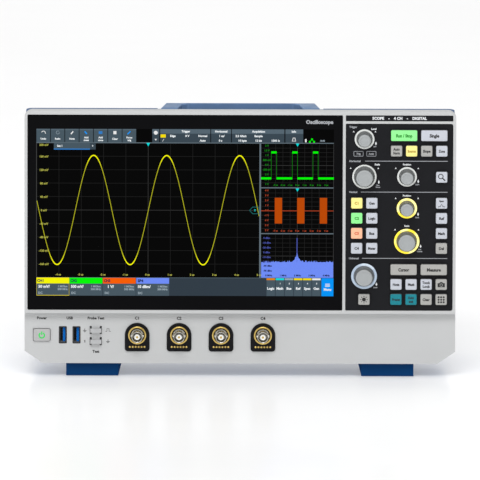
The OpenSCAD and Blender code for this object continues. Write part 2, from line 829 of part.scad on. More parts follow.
module port_connectors() {
    color([0.62, 0.63, 0.65]) {
        for (x = usb_x) {
            socket(usb_shell, usb_shell - 2 * [usb_shell_t, usb_shell_t], [x, strip_z], 6.8, 20, 2);
            slab(8.6, 18 + eps) translate([x + 1.1, strip_z]) square(usb_tongue, center = true);
        }
        for (z = terminal_z) test_loop(z);
        rear_socket(lan_outer, lan_inner, [lan_x, riser_top + lan_outer[1] / 2], 2);
        rear_socket(hdmi_outer, hdmi_inner, [hdmi_x, riser_top + hdmi_outer[1] / 2], 2);
        for (x = rear_usb_x)
            rear_socket(rear_usb_outer, rear_usb_inner, [x, riser_top + rear_usb_outer[1] / 2], 2);
        for (x = concat([hdmi_x], rear_usb_x))
            slab(rear_d - port_len + 2 - eps, rear_d - 2)
                translate([x, riser_top + 3.2]) square([10, 1.4], center = true);
        mains_inlet();
    }
}

// A folded metal loop that a probe's tip or clip hooks onto.
module test_loop(z) {
    x0 = terminal_x - terminal_span / 2 - terminal_t / 2;
    x1 = terminal_x + terminal_span / 2 + terminal_t / 2;
    zr = [z - loop_h / 2, z + loop_h / 2];
    block([x0, x1], [terminal_front, terminal_front + terminal_t], zr);
    for (x = [x0, x1 - terminal_t]) block([x, x + terminal_t], [terminal_front, strip_rear + 3], zr);
    block([x0, x1], [strip_rear + 3 - eps, strip_rear + 4], zr);
}

module mains_inlet() {
    at = [inlet_x, inlet_z];
    rear_socket(inlet_outer, inlet_inner, at, 3);
    for (p = [[-7, -1.5], [0, 2.5], [7, -1.5]])
        slab(rear_d - port_len + 3 - eps, rear_d - 6) translate(at + p) square([2, 4], center = true);
}

// ---------------------------------------------------------------- rear housing

// The housing seen from the side, drawn inset from its outer face.
module side_outline(inset, front) {
    d1 = rear_d - inset;
    t = inset / cos(roof_slope);
    z_rear = roof_z - t - (d1 - roof_flat) * tan(roof_slope);
    polygon([
        [front, foot_h + inset], [front, roof_z - inset], [roof_flat, roof_z - t],
        [d1, z_rear], [d1, foot_h + inset + rear_chamfer], [d1 - rear_chamfer, foot_h + inset],
    ]);
}

// The housing seen from above, drawn inset from its outer face.
module plan_outline(inset, front) {
    x1 = body_w / 2 - housing_inset - inset;
    d1 = rear_d - inset;
    taper = side_taper * (d1 - side_taper_start) / (rear_d - side_taper_start);
    polygon([
        [-x1, front], [x1, front], [x1, side_taper_start], [x1 - taper, d1],
        [taper - x1, d1], [-x1, side_taper_start],
    ]);
}

module housing_solid(inset, front) {
    intersection() {
        side_slab(left, right) side_outline(inset, front);
        plan_slab(0, z_top + over) plan_outline(inset, front);
        slab(front, rear_d) front_outline(housing_inset + inset);
    }
}

// Half widths of the handle and of its opening at a depth.
function outer_half(d) = handle_w / 2 - arm_slant * (d - roof_flat) / (grip_front - roof_flat);
function inner_half(d) = outer_half(d) - arm_w;

module recess() {
    difference() {
        union() {
            block([-recess_x, recess_x], [roof_flat, recess_back], [recess_floor, z_top]);
            block([-scoop_x, scoop_x], [recess_back - eps, recess_back + scoop_len],
                  [recess_floor, z_top]);
        }
        island(0);
    }
}

// The fixed middle part that fills the handle's opening.
module island(inset) {
    d0 = roof_flat - over + inset;
    d1 = grip_front - island_gap - inset;
    half0 = inner_half(d0) - island_gap - inset;
    half1 = inner_half(d1) - island_gap - inset;
    cut = handle_corner;
    plan_slab(recess_floor - wall - over, island_top - inset) polygon([
        [-half0, d0], [half0, d0], [half1, d1 - cut], [half1 - cut, d1],
        [cut - half1, d1], [-half1, d1 - cut],
    ]);
}

module foot_well(sx, grow) {
    x = [foot_x0 - foot_slant - foot_well_gap[0] - grow, foot_x1 + foot_well_gap[1] + grow];
    block(sx > 0 ? x : [-x[1], -x[0]], [bezel_d - over, foot_well_back + grow],
          [foot_h - over, foot_well_top + grow]);
}

module foot_lug(x) {
    difference() {
        union() {
            cross_bar(foot_pivot_depth, foot_pivot_z, foot_lug_r, x - lug_w / 2, x + lug_w / 2);
            block([x - lug_w / 2, x + lug_w / 2], [foot_pivot_depth, lug_riser[1]],
                  [foot_pivot_z - lug_neck_h, foot_pivot_z + lug_neck_h]);
            block([x - lug_w / 2, x + lug_w / 2], lug_riser, [foot_pivot_z, floor_z + over]);
        }
        cross_bar(foot_pivot_depth, foot_pivot_z, foot_pin_d / 2 + fit_gap, x - lug_w, x + lug_w);
    }
}

module vent_slots() {
    // Behind the fan.
    for (i = [-6 : 6]) {
        dx = rear_vent_pitch * i;
        h = 2 * sqrt(pow(fan_bore_r, 2) - pow(dx, 2)) - 2;
        slab(rear_d - wall - over, rear_d + over)
            round_rect([vent_w, h], 1.2, [fan_x + dx, fan_z]);
    }
    // Along both sides.
    for (i = [0 : 13])
        side_slab(left - over, right + over)
            translate([side_vent_start + side_vent_pitch * i, z_top - side_vent_drop])
                square([vent_w, side_vent_h], center = true);
}

module rear_cutouts() {
    slab(rear_d - wall - over, rear_d + over) {
        grow = 2 * [port_gap, port_gap];
        translate([lan_x, riser_top + lan_outer[1] / 2]) square(lan_outer + grow, center = true);
        translate([hdmi_x, riser_top + hdmi_outer[1] / 2]) square(hdmi_outer + grow, center = true);
        for (x = rear_usb_x)
            translate([x, riser_top + rear_usb_outer[1] / 2]) square(rear_usb_outer + grow, center = true);
        translate([inlet_x, inlet_z]) square(inlet_outer + grow, center = true);
    }
}

module rear_housing() {
    mount_at = [for (sx = [-1, 1], sz = [-1, 1]) [sx * mount_pitch / 2, mount_z + sz * mount_pitch / 2]];
    color([0.03, 0.2, 0.38]) difference() {
        union() {
            difference() {
                housing_solid(0, bezel_d);
                difference() {
                    housing_solid(wall, bezel_d - over);
                    // Tub of the handle recess, finger scoop and pivot bosses.
                    block([-recess_x - wall, recess_x + wall], [roof_flat - wall, recess_back + wall],
                          [recess_floor - wall, z_top]);
                    block([-scoop_x - wall, scoop_x + wall], [recess_back, recess_back + scoop_len + wall],
                          [recess_floor - wall, z_top]);
                    for (sx = [-1, 1]) foot_well(sx, wall);
                    block([-tub_x, tub_x], [roof_flat - wall, pivot_depth + pivot_d],
                          [pivot_z - pivot_d, z_top]);
                }
                recess();
                for (sx = [-1, 1]) foot_well(sx, 0);
                // The island is hollow from below.
                island(wall);
            }
            for (s = [-1, 1]) foot_lug(s * foot_mid);
            for (s = [-1, 1])
                block([min(s * foot_x0, s * foot_x1), max(s * foot_x0, s * foot_x1)], rear_foot,
                      [0, floor_z + over]);
            for (p = mount_at) bar(p[0], p[1], mount_boss_r, rear_d - mount_depth - 2, rear_d - eps);
            for (sx = [-1, 1], z = bumper_z)
                slab(rear_d - eps, rear_d + bumper_d)
                    round_rect(bumper_size, bumper_r, [sx * bumper_x, z]);
        }
        for (p = mount_at) bar(p[0], p[1], mount_hole_d / 2, rear_d - mount_depth, rear_d + over);
        for (s = [-1, 1])
            cross_bar(pivot_depth, pivot_z, pivot_d / 2 + fit_gap,
                      s > 0 ? recess_x - over : -recess_x - pivot_len - 0.5,
                      s > 0 ? recess_x + pivot_len + 0.5 : over - recess_x);
        vent_slots();
        rear_cutouts();
    }
}

// ---------------------------------------------------------------- handle and feet

module carry_handle() {
    z0 = handle_top - handle_t;
    cut = handle_corner;
    color([0.03, 0.2, 0.38]) {
        intersection() {
            plan_slab(z0 - over, handle_top + over) difference() {
                polygon([
                    [-outer_half(roof_flat), roof_flat], [outer_half(roof_flat), roof_flat],
                    [outer_half(grip_front), grip_front], [outer_half(grip_front) - 1, grip_back - 6],
                    [outer_half(grip_front) - 7, grip_back], [7 - outer_half(grip_front), grip_back],
                    [1 - outer_half(grip_front), grip_back - 6], [-outer_half(grip_front), grip_front],
                ]);
                polygon([
                    [-inner_half(roof_flat), roof_flat - over], [inner_half(roof_flat), roof_flat - over],
                    [inner_half(grip_front), grip_front - cut], [inner_half(grip_front) - cut, grip_front],
                    [cut - inner_half(grip_front), grip_front], [-inner_half(grip_front), grip_front - cut],
                ]);
            }
            side_slab(-handle_w, handle_w) {
                translate([pivot_depth, pivot_z]) circle(handle_end_r);
                polygon([
                    [pivot_depth, z0], [grip_back - 3, z0], [grip_back, z0 + 3],
                    [grip_back, handle_top - grip_d * tan(roof_slope)],
                    [grip_front, handle_top], [pivot_depth, handle_top],
                ]);
            }
        }
        for (s = [-1, 1])
            cross_bar(pivot_depth, pivot_z, pivot_d / 2,
                      s > 0 ? outer_half(pivot_depth) - 6 : -recess_x - pivot_len,
                      s > 0 ? recess_x + pivot_len : 6 - outer_half(pivot_depth));
    }
}

// The right-hand tilt foot, folded up.
module tilt_foot() {
    rear = foot_front + foot_block;
    color([0.03, 0.2, 0.4]) {
        difference() {
            union() {
                block([foot_x0, foot_x1], [foot_front, foot_front + foot_face_t], [0, foot_top]);
                slab(foot_front + foot_face_t - eps, rear) polygon([
                    [foot_x0, 0], [foot_x1, 0], [foot_x1, foot_top], [foot_x0 - foot_slant, foot_top],
                ]);
                block([foot_x0 + paddle_inset, foot_x1 - paddle_inset],
                      [rear - eps, foot_pivot_depth + tilt_len], [foot_top - paddle_t, foot_top]);
            }
            block([foot_mid - foot_slot / 2, foot_mid + foot_slot / 2],
                  [foot_front + foot_face_t, foot_slot_end], [-over, foot_h]);
        }
        cross_bar(foot_pivot_depth, foot_pivot_z, foot_pin_d / 2,
                  foot_mid - foot_slot / 2 - over, foot_mid + foot_slot / 2 + over);
    }
}

module tilt_foot_left() mirror([1, 0, 0]) tilt_foot();
module tilt_foot_right() tilt_foot();

front_bezel();
display_glass();
lcd_module();
key_panel();
key_board();
chassis();
main_board();
power_supply();
fan_frame();
fan_rotor();
rear_housing();
carry_handle();
tilt_foot_left();
tilt_foot_right();
bnc_jacks();
channel_plates();
port_connectors();
power_key();
for (k = KEYS) push_key(k);
for (k = KNOBS) knob(k);
for (k = KNOBS) encoder_shaft(k);
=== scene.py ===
import math
import random

import bmesh
import bpy
from bpy.props import FloatProperty, FloatVectorProperty, IntProperty, PointerProperty
from mathutils import Matrix, Vector


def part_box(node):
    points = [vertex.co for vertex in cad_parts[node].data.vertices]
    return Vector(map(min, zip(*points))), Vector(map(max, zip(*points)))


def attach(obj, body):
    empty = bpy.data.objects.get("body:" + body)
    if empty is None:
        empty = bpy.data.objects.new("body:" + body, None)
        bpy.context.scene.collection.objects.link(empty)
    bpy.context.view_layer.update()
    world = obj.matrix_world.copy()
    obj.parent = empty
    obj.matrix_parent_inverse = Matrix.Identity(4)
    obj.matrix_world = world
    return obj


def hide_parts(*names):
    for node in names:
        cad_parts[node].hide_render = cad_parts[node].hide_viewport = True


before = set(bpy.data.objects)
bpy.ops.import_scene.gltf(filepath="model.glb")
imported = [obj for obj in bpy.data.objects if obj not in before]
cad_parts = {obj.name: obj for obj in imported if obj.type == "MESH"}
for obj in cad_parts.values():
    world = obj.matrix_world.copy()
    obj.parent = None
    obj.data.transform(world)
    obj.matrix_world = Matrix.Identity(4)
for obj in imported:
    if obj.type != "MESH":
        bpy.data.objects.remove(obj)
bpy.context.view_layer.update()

bl_info = {
    "name": "Bench Oscilloscope",
    "version": (1, 0, 0),
    "blender": (4, 5, 0),
    "location": "3D View > Sidebar > Oscilloscope",
    "description": "Finishes and fine pieces of a bench oscilloscope, built around its frame",
    "category": "Add Mesh",
}

MM = 0.001
BEZEL_LOW, BEZEL_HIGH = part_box("front_bezel")
PANEL_LOW, PANEL_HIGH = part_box("key_panel")
GLASS_LOW, GLASS_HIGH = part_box("display_glass")
LCD_LOW, LCD_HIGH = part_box("lcd_module")
HOUSING_LOW, HOUSING_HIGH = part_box("rear_housing")
PLATE_LOW, PLATE_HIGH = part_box("channel_plates")
JACK_LOW, JACK_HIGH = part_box("bnc_jacks")

# Depths in millimetres behind the bezel's front plane, and heights above the bench.
FRONT = BEZEL_LOW.y / MM
TOP = BEZEL_HIGH.z / MM
GLASS_DEPTH = GLASS_LOW.y / MM - FRONT
PANEL_DEPTH = PANEL_LOW.y / MM - FRONT
STRIP_DEPTH = PLATE_HIGH.y / MM - FRONT
PLATE_DEPTH = PLATE_LOW.y / MM - FRONT
JACK_TIP = JACK_LOW.y / MM - FRONT
LCD_BORDER = 3.8
SCREEN_LEFT = LCD_LOW.x / MM + LCD_BORDER
SCREEN_TOP = LCD_HIGH.z / MM - LCD_BORDER
SCREEN_W = (LCD_HIGH.x - LCD_LOW.x) / MM - 2 * LCD_BORDER
SCREEN_H = (LCD_HIGH.z - LCD_LOW.z) / MM - 2 * LCD_BORDER
BUMPER = 6.0
REAR_FACE = HOUSING_HIGH.y / MM - FRONT - BUMPER
PLATE_W = 21.4

# Middles of the rear sockets across the case.
NETWORK_X, VIDEO_X, REAR_USB_X, MAINS_X = 24, -4, (-28, -46), 118

# Lettering: its thickness, how much it is emboldened and its capitals' share of the font's size.
INK = 0.04
BOLD = 0.045
CAP_HEIGHT = 0.69

# The main trace on the display image: height of its middle line and rise of its peaks.
TRACE_V, TRACE_RISE = 70.9, 47.8


def middle(node):
    """The middle of a CAD node, in millimetres."""
    low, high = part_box(node)
    return (low + high) / (2 * MM)


# ---------------------------------------------------------------- settings


def size(name, description, default, low, high):
    """A length in millimetres."""
    return FloatProperty(name=name, description=description + ", in millimetres", default=default,
                         min=low, max=high)


def colour(name, description, default):
    """A colour in the way it is seen on a display."""
    return FloatVectorProperty(name=name, description=description, default=default, size=3,
                               min=0.0, max=1.0, subtype="COLOR_GAMMA")


def amount(name, description, default, **options):
    """Any other number: an angle, a power or a plain factor."""
    return FloatProperty(name=name, description=description, default=default, **options)


class CaseSettings(bpy.types.PropertyGroup):
    """Sizes and colours of the case."""

    bezel_colour: colour("Bezel", "Colour of the front bezel", (0.755, 0.76, 0.762))
    case_colour: colour("Case", "Colour of the housing", (0.17, 0.335, 0.52))
    # The handle's colour is a lighter copy of the case blue: painted light on the lit handle.
    grip_colour: colour("Handle", "Colour of the handle", (0.4, 0.51, 0.655))
    # The feet's colour is a darker copy of the case blue: painted shade under the body.
    foot_colour: colour("Feet", "Colour of the folding feet", (0.0, 0.21, 0.4))
    bezel_edge: size("Bezel edge", "Rounding of the bezel's edges", 0.6, 0.1, 1.0)
    case_edge: size("Case edge", "Rounding of the housing's edges", 0.7, 0.1, 1.0)
    handle_edge: size("Handle edge", "Rounding of the handle's edges", 1.2, 0.2, 2.0)
    foot_edge: size("Foot edge", "Rounding of the feet's edges", 0.5, 0.1, 1.0)
    pad_t: size("Pads", "Thickness of the rubber pads under the feet", 0.4, 0.2, 0.8)
    screw_d: size("Screw heads", "Diameter of the screw heads", 5.6, 4.0, 7.0)


class DisplaySettings(bpy.types.PropertyGroup):
    """Looks of the display."""

    glass_colour: colour("Glass", "Colour of the cover glass", (0.02, 0.02, 0.028))
    trace_colour: colour("Trace", "Colour of the main trace", (1.0, 1.0, 0.0))
    trace_w: size("Trace width", "Width of the main trace at its peaks", 0.98, 0.4, 2.0)
    glow: amount("Glow", "Brightness of the display image", 1.0, min=0.0, max=4.0)
    noise_seed: IntProperty(name="Noise seed", description="Seed of the noise in the spectrum",
                            default=7, min=0)


class ControlSettings(bpy.types.PropertyGroup):
    """Sizes and colours of the keys and knobs."""

    panel_colour: colour("Panel", "Colour of the key panel", (0.085, 0.088, 0.102))
    knob_colour: colour("Knobs", "Colour of the knobs", (0.62, 0.635, 0.64))
    key_round: size("Key edge", "Rounding of the keys' front edges", 0.75, 0.2, 1.0)
    knob_taper: amount("Knob taper", "Tip radius over base radius", 0.86, min=0.7, max=1.0)
    ribs: IntProperty(name="Ribs", description="Ribs around a large knob", default=44, min=12, max=90)
    rib_h: size("Rib height", "How far the ribs stand proud", 0.22, 0.05, 0.5)
    legend_h: size("Legends", "Height of the capitals on the keys", 2.15, 0.8, 2.5)


class InputSettings(bpy.types.PropertyGroup):
    """Sizes and colours of the inputs."""

    gold_colour: colour("Gold", "Colour of the gold plating", (0.88, 0.76, 0.44))
    contacts: IntProperty(name="Contacts", description="Probe contacts under each input", default=6,
                          min=2, max=8)
    contact_pitch: size("Contact pitch", "Pitch of the probe contacts", 2.54, 1.27, 3.0)
    contact_r: size("Contact radius", "Radius of a probe contact", 0.95, 0.3, 1.1)
    ring_out: size("Ring radius", "Outer radius of the gold ring", 7.8, 7.0, 9.0)
    ring_in: size("Ring opening", "Inner radius of the gold ring", 6.2, 5.5, 6.9)


class StageSettings(bpy.types.PropertyGroup):
    """Camera, lights and floor."""

    elevation: amount("Elevation", "Camera angle above the horizon", math.radians(10),
                      subtype="ANGLE")
    roll: amount("Roll", "Camera roll", math.radians(0.15), subtype="ANGLE")
    distance: amount("Distance", "Camera distance", 14.0, unit="LENGTH")
    frame_w: amount("Frame width", "Width seen at the bezel", 0.414, unit="LENGTH")
    sky: amount("Sky", "Brightness of the surroundings", 0.65)
    backdrop: amount("Backdrop", "Brightness behind the object", 0.95)
    floor_glow: amount("Floor glow", "Light of the floor itself", 0.23)
    top_light: amount("Top light", "Power of the upper soft light", 17.0, unit="POWER")
    side_light: amount("Side light", "Power of the left soft light", 3.0, unit="POWER")


# ---------------------------------------------------------------- finishes


def linear(value):
    """A displayed colour in the linear values that shaders take."""
    return tuple(c / 12.92 if c <= 0.04045 else ((c + 0.055) / 1.055) ** 2.4 for c in value)


def shade(value, factor):
    """A colour made darker or lighter by a factor."""
    return tuple(min(1.0, c * factor) for c in value)


class Finish:
    """A procedural material: a Principled shader with textures in object coordinates."""

    def __init__(self, name, colour, roughness=0.5, **sockets):
        """Starts from a displayed colour, with other sockets as keywords such as Metallic."""
        self.material = bpy.data.materials.new(name)
        self.material.use_nodes = True
        self.nodes = self.material.node_tree.nodes
        self.links = self.material.node_tree.links
        self.shader = self.nodes["Principled BSDF"]
        self.place = self.nodes.new("ShaderNodeTexCoord").outputs["Object"]
        self.height = None
        self.colour = linear(colour)
        self.shader.inputs["Base Color"].default_value = (*self.colour, 1)
        self.shader.inputs["Roughness"].default_value = roughness
        self.material.diffuse_color = (*self.colour, 1)
        for socket, value in sockets.items():
            self.shader.inputs[socket.replace("_", " ")].default_value = value

    def noise(self, scale, detail=2.0, stretch=(1, 1, 1)):
        """Noise with features of about 1/scale metres, stretched along the axes given."""
        mapping = self.nodes.new("ShaderNodeMapping")
        mapping.inputs["Scale"].default_value = stretch
        texture = self.nodes.new("ShaderNodeTexNoise")
        texture.inputs["Scale"].default_value = scale
        texture.inputs["Detail"].default_value = detail
        self.links.new(self.place, mapping.inputs["Vector"])
        self.links.new(mapping.outputs["Vector"], texture.inputs["Vector"])
        return texture.outputs["Fac"]

    def axis(self, name):
        """One of the object coordinates."""
        split = self.nodes.new("ShaderNodeSeparateXYZ")
        self.links.new(self.place, split.inputs["Vector"])
        return split.outputs[name]

    def spread(self, source, low, high, to_low, to_high):
        """A texture's range from low to high, mapped to another range."""
        node = self.nodes.new("ShaderNodeMapRange")
        node.interpolation_type = "SMOOTHSTEP"
        for socket, value in zip(("From Min", "From Max", "To Min", "To Max"),
                                 (low, high, to_low, to_high)):
            node.inputs[socket].default_value = value
        self.links.new(source, node.inputs["Value"])
        return node.outputs["Result"]

    def blend(self, factor, first, second):
        """A colour between two colours or colour outputs."""
        node = self.nodes.new("ShaderNodeMix")
        node.data_type = "RGBA"
        self.links.new(factor, node.inputs["Factor"])
        for socket, value in ((node.inputs[6], first), (node.inputs[7], second)):
            if isinstance(value, bpy.types.NodeSocket):
                self.links.new(value, socket)
            else:
                socket.default_value = (*value, 1)
        return node.outputs[2]

    def mottle(self, scale, amount):
        """Colour that drifts slightly over the surface."""
        factor = self.spread(self.noise(scale, 3.0), 0.3, 0.7, 0.0, 1.0)
        low, high = shade(self.colour, 1 - amount), shade(self.colour, 1 + amount)
        self.links.new(self.blend(factor, low, high), self.shader.inputs["Base Color"])
        return self

    def rubbed(self, amount):
        """An edge that handling has polished lighter in places."""
        factor = self.spread(self.noise(160, 3.0), 0.35, 0.7, 0.1, amount)
        base = self.shader.inputs["Base Color"].links
        below = base[0].from_socket if base else self.colour
        lighter = tuple(min(1.0, 1.3 * c + 0.02) for c in self.colour)
        self.links.new(self.blend(factor, below, lighter), self.shader.inputs["Base Color"])
        return self

    def polish(self, scale, low, high):
        """Roughness that varies between two values."""
        result = self.spread(self.noise(scale, 3.0), 0.3, 0.7, low, high)
        self.links.new(result, self.shader.inputs["Roughness"])
        return self

    def grain(self, scale, strength, stretch=(1, 1, 1)):
        """A fine moulded or brushed texture."""
        bump = self.nodes.new("ShaderNodeBump")
        bump.inputs["Strength"].default_value = strength
        bump.inputs["Distance"].default_value = 0.1 * MM
        self.links.new(self.noise(scale, 2.0, stretch), bump.inputs["Height"])
        if self.height:
            self.links.new(self.height, bump.inputs["Normal"])
        self.height = bump.outputs["Normal"]
        self.links.new(self.height, self.shader.inputs["Normal"])
        return self

    def glow(self, value, strength, scale=1500, low=0.88):
        """Light of one colour, with the fine unevenness of a lit surface."""
        colour_value = linear(value)
        factor = self.spread(self.noise(scale, 1.0), 0.35, 0.65, 0.0, 1.0)
        lit = self.blend(factor, shade(colour_value, low), colour_value)
        self.links.new(lit, self.shader.inputs["Emission Color"])
        self.shader.inputs["Emission Strength"].default_value = strength
        return self


FINISHES = {}


def finish(name):
    """The material of that name, made when it is first asked for."""
    if name not in FINISHES:
        FINISHES[name] = make_finish(name)
    return FINISHES[name]


# Inks: colour, light of their own. On the white and grey inks this light is a painted glow on print.
INKS = {
    "white_ink": ((0.86, 0.87, 0.88), 0.12),
    "grey_ink": ((0.62, 0.63, 0.65), 0.05),
    "dark_ink": ((0.04, 0.04, 0.045), 0.0),
    "print_ink": ((0.05, 0.05, 0.055), 0.0),
    "green_ink": ((0.0, 0.5, 0.03), 0.0),
    "amber_ink": ((0.66, 0.52, 0.02), 0.0),
    "red_ink": ((0.8, 0.27, 0.08), 0.0),
    "teal_ink": ((0.01, 0.14, 0.17), 0.0),
    "power_green": ((0.05, 0.75, 0.27), 0.3),
}

# Key faces: colour, light of their own.
KEY_FACES = {
    "key_light": ((0.765, 0.78, 0.815), 0.0),
    "key_grey": ((0.67, 0.668, 0.655), 0.0),
    "key_green": ((0.55, 0.94, 0.56), 0.1),
    "key_yellow": ((0.97, 0.91, 0.55), 0.1),
    "key_orange": ((0.97, 0.72, 0.58), 0.1),
    "key_teal": ((0.0, 0.5, 0.555), 0.0),
}

# Colours of the display image.
SCREEN = {
    "screen_black": (0.0, 0.0, 0.0),
    "screen_slate": (0.235, 0.29, 0.33),
    "screen_head": (0.345, 0.41, 0.455),
    "screen_cell": (0.29, 0.355, 0.395),
    "screen_bar": (0.2, 0.245, 0.285),
    "screen_rule": (0.4, 0.455, 0.49),
    "screen_grid": (0.15, 0.15, 0.15),
    "screen_axis": (0.27, 0.27, 0.27),
    "screen_text": (0.97, 0.99, 1.0),
    "screen_grey": (0.62, 0.68, 0.72),
    "screen_dark": (0.1, 0.12, 0.28),
    "screen_scale": (0.7, 0.7, 0.3),
    "screen_yellow": (1.0, 1.0, 0.0),
    "screen_gold": (1.0, 0.9, 0.0),
    "screen_green": (0.0, 1.0, 0.0),
    "screen_dim_green": (0.06, 0.5, 0.06),
    "screen_orange": (1.0, 0.38, 0.0),
    "screen_bar_orange": (0.75, 0.29, 0.0),
    "screen_dim_orange": (0.66, 0.25, 0.14),
    "screen_amber": (0.92, 0.55, 0.0),
    "screen_periwinkle": (0.45, 0.57, 1.0),
    "screen_dim_blue": (0.28, 0.32, 0.64),
    "screen_blue": (0.0, 0.6, 1.0),
    "screen_link": (0.2, 0.5, 0.8),
    "screen_cyan": (0.0, 0.9, 0.9),
    "screen_teal": (0.12, 0.42, 0.42),
    "screen_white": (0.95, 0.95, 0.95),
}


def make_finish(name):
    """Makes the named material from the settings and the tables of inks, keys and screen colours."""
    base = name.removesuffix("_edge")
    scene = bpy.context.scene
    case, display = scene.scope_case, scene.scope_display
    controls, inputs = scene.scope_controls, scene.scope_inputs
    if name in INKS:
        value, light = INKS[name]
        made = Finish(name, value, 0.45).mottle(900, 0.05).grain(4000, 0.04)
        # The light on the white and grey inks is a painted glow on print.
        return (made.glow(value, light) if light else made).material
    if name in KEY_FACES:
        value, light = KEY_FACES[name]
        made = Finish(name, value, 0.5, Specular_IOR_Level=0.35).mottle(260, 0.025)
        made.polish(500, 0.42, 0.56).grain(3200, 0.09)
        return (made.glow(value, light, 420, 0.8) if light else made).material
    if name in SCREEN:
        made = Finish(name, (0, 0, 0), 0.1, Specular_IOR_Level=0.03).polish(18, 0.06, 0.12)
        return made.glow(SCREEN[name], display.glow, 3600, 0.84).material
    makers = {
        "bezel_plastic": lambda: Finish(name, case.bezel_colour, 0.5)
        .mottle(22, 0.012).polish(60, 0.44, 0.54).grain(2600, 0.11),
        "case_plastic": lambda: Finish(name, case.case_colour, 0.5, Specular_IOR_Level=0.2)
        .mottle(30, 0.02).polish(45, 0.5, 0.6).grain(1500, 0.22).grain(5200, 0.1),
        # Feet: a darker copy of the case blue, painted shade.
        "foot_plastic_shaded": lambda: Finish(name, case.foot_colour, 0.5, Specular_IOR_Level=0.08)
        .mottle(40, 0.06).polish(60, 0.5, 0.64).grain(1500, 0.22),
        # Handle: a lighter copy of the case blue, painted light.
        "grip_plastic_lit": lambda: Finish(name, case.grip_colour, 0.5, Specular_IOR_Level=0.25)
        .mottle(40, 0.05).polish(70, 0.42, 0.58).grain(1500, 0.2).grain(5200, 0.08),
        "cover_glass": lambda: Finish(name, display.glass_colour, 0.06, Specular_IOR_Level=0.05)
        .mottle(14, 0.1).polish(16, 0.04, 0.12),
        "panel_plastic": lambda: Finish(name, controls.panel_colour, 0.5, Specular_IOR_Level=0.14)
        .mottle(60, 0.05).polish(90, 0.42, 0.56).grain(3000, 0.12),
        "key_skirt": lambda: Finish(name, (0.36, 0.365, 0.375), 0.5)
        .mottle(300, 0.05).grain(3200, 0.1),
        # Knob sides: a darker copy of the knob colour, painted shade.
        "knob_plastic_shaded": lambda: Finish(name, shade(controls.knob_colour, 0.7), 0.45)
        .mottle(170, 0.03).polish(220, 0.36, 0.48).grain(2800, 0.1),
        "knob_face": lambda: Finish(name, shade(controls.knob_colour, 1.02), 0.4)
        .mottle(240, 0.02).polish(200, 0.34, 0.46).grain(2600, 0.08),
        "ring_clear": lambda: Finish(name, (0.92, 0.93, 0.92), 0.35)
        .mottle(200, 0.05).polish(300, 0.24, 0.38).grain(2500, 0.06),
        "ring_yellow": lambda: lit_ring(name, (1.0, 0.96, 0.62), (0.97, 0.87, 0.22), 0.6),
        "ring_white": lambda: lit_ring(name, (0.78, 0.83, 0.88), (0.66, 0.72, 0.79), 0.3),
        "shaft_steel": lambda: Finish(name, (0.78, 0.78, 0.8), 0.28, Metallic=1.0)
        .mottle(300, 0.05).grain(900, 0.12, (1, 30, 1)),
        "nickel": lambda: Finish(name, (0.8, 0.79, 0.76), 0.2, Metallic=1.0)
        .mottle(240, 0.06).polish(500, 0.14, 0.3).grain(700, 0.05, (1, 14, 1)),
        "gold": lambda: Finish(name, inputs.gold_colour, 0.3, Metallic=0.85)
        .mottle(90, 0.06).polish(120, 0.28, 0.38).grain(1500, 0.06),
        "trace": lambda: make_trace_finish(display),
        "insulator": lambda: Finish(name, (0.95, 0.95, 0.93), 0.4)
        .mottle(500, 0.02).grain(3000, 0.06),
        "plate_black": lambda: Finish(name, (0.045, 0.045, 0.06), 0.42, Specular_IOR_Level=0.15)
        .mottle(200, 0.08).polish(260, 0.34, 0.48).grain(2600, 0.1),
        "socket_black": lambda: Finish(name, (0.05, 0.05, 0.055), 0.5)
        .mottle(300, 0.1).grain(3000, 0.1),
        "socket_blue": lambda: Finish(name, (0.0, 0.42, 0.78), 0.5, Specular_IOR_Level=0.1)
        .mottle(300, 0.05).grain(3000, 0.08),
        "tin": lambda: Finish(name, (0.74, 0.745, 0.75), 0.45, Metallic=0.75)
        .mottle(120, 0.05).polish(160, 0.38, 0.52).grain(600, 0.14, (6, 1, 1)),
        "power_plastic": lambda: Finish(name, (0.7, 0.7, 0.7), 0.45)
        .mottle(300, 0.03).polish(400, 0.38, 0.5).grain(3000, 0.08),
        "rubber": lambda: Finish(name, (0.085, 0.087, 0.09), 0.82)
        .mottle(350, 0.1).polish(500, 0.74, 0.9).grain(2400, 0.3),
        "screw_black": lambda: Finish(name, (0.1, 0.1, 0.11), 0.35, Metallic=0.8)
        .mottle(500, 0.1).grain(2400, 0.08),
        "fan_plastic": lambda: Finish(name, (0.1, 0.1, 0.105), 0.45)
        .mottle(120, 0.08).polish(200, 0.38, 0.55).grain(2400, 0.12),
        "sheet_metal": lambda: Finish(name, (0.76, 0.77, 0.78), 0.38, Metallic=1.0)
        .mottle(30, 0.06).polish(60, 0.3, 0.5).grain(500, 0.16, (1, 1, 12)),
        "screen_frame": lambda: Finish(name, (0.12, 0.12, 0.13), 0.4)
        .mottle(60, 0.1).grain(2000, 0.1),
        "main_board_finish": lambda: board_finish(name, "main_board", 0.02, (0.72, 0.73, 0.74)),
        "key_board_finish": lambda: board_finish(name, "key_board", 0.9, (0.08, 0.08, 0.085)),
        "supply_board_finish": lambda: board_finish(name, "power_supply", 0.4, (0.3, 0.27, 0.2)),
    }
    made = makers[base]()
    return (made if name == base else made.rubbed(0.6)).material


def lit_ring(name, pale, deep, strength):
    """A clear ring lit from behind, deeper in colour in some places than in others."""
    made = Finish(name, pale, 0.35, Specular_IOR_Level=0.4)
    made.polish(300, 0.28, 0.42).grain(2500, 0.05)
    factor = made.spread(made.noise(120, 1.0), 0.4, 0.62, 0.0, 1.0)
    lit = made.blend(factor, linear(pale), linear(deep))
    made.links.new(lit, made.shader.inputs["Emission Color"])
    made.links.new(lit, made.shader.inputs["Base Color"])
    made.shader.inputs["Emission Strength"].default_value = strength
    return made


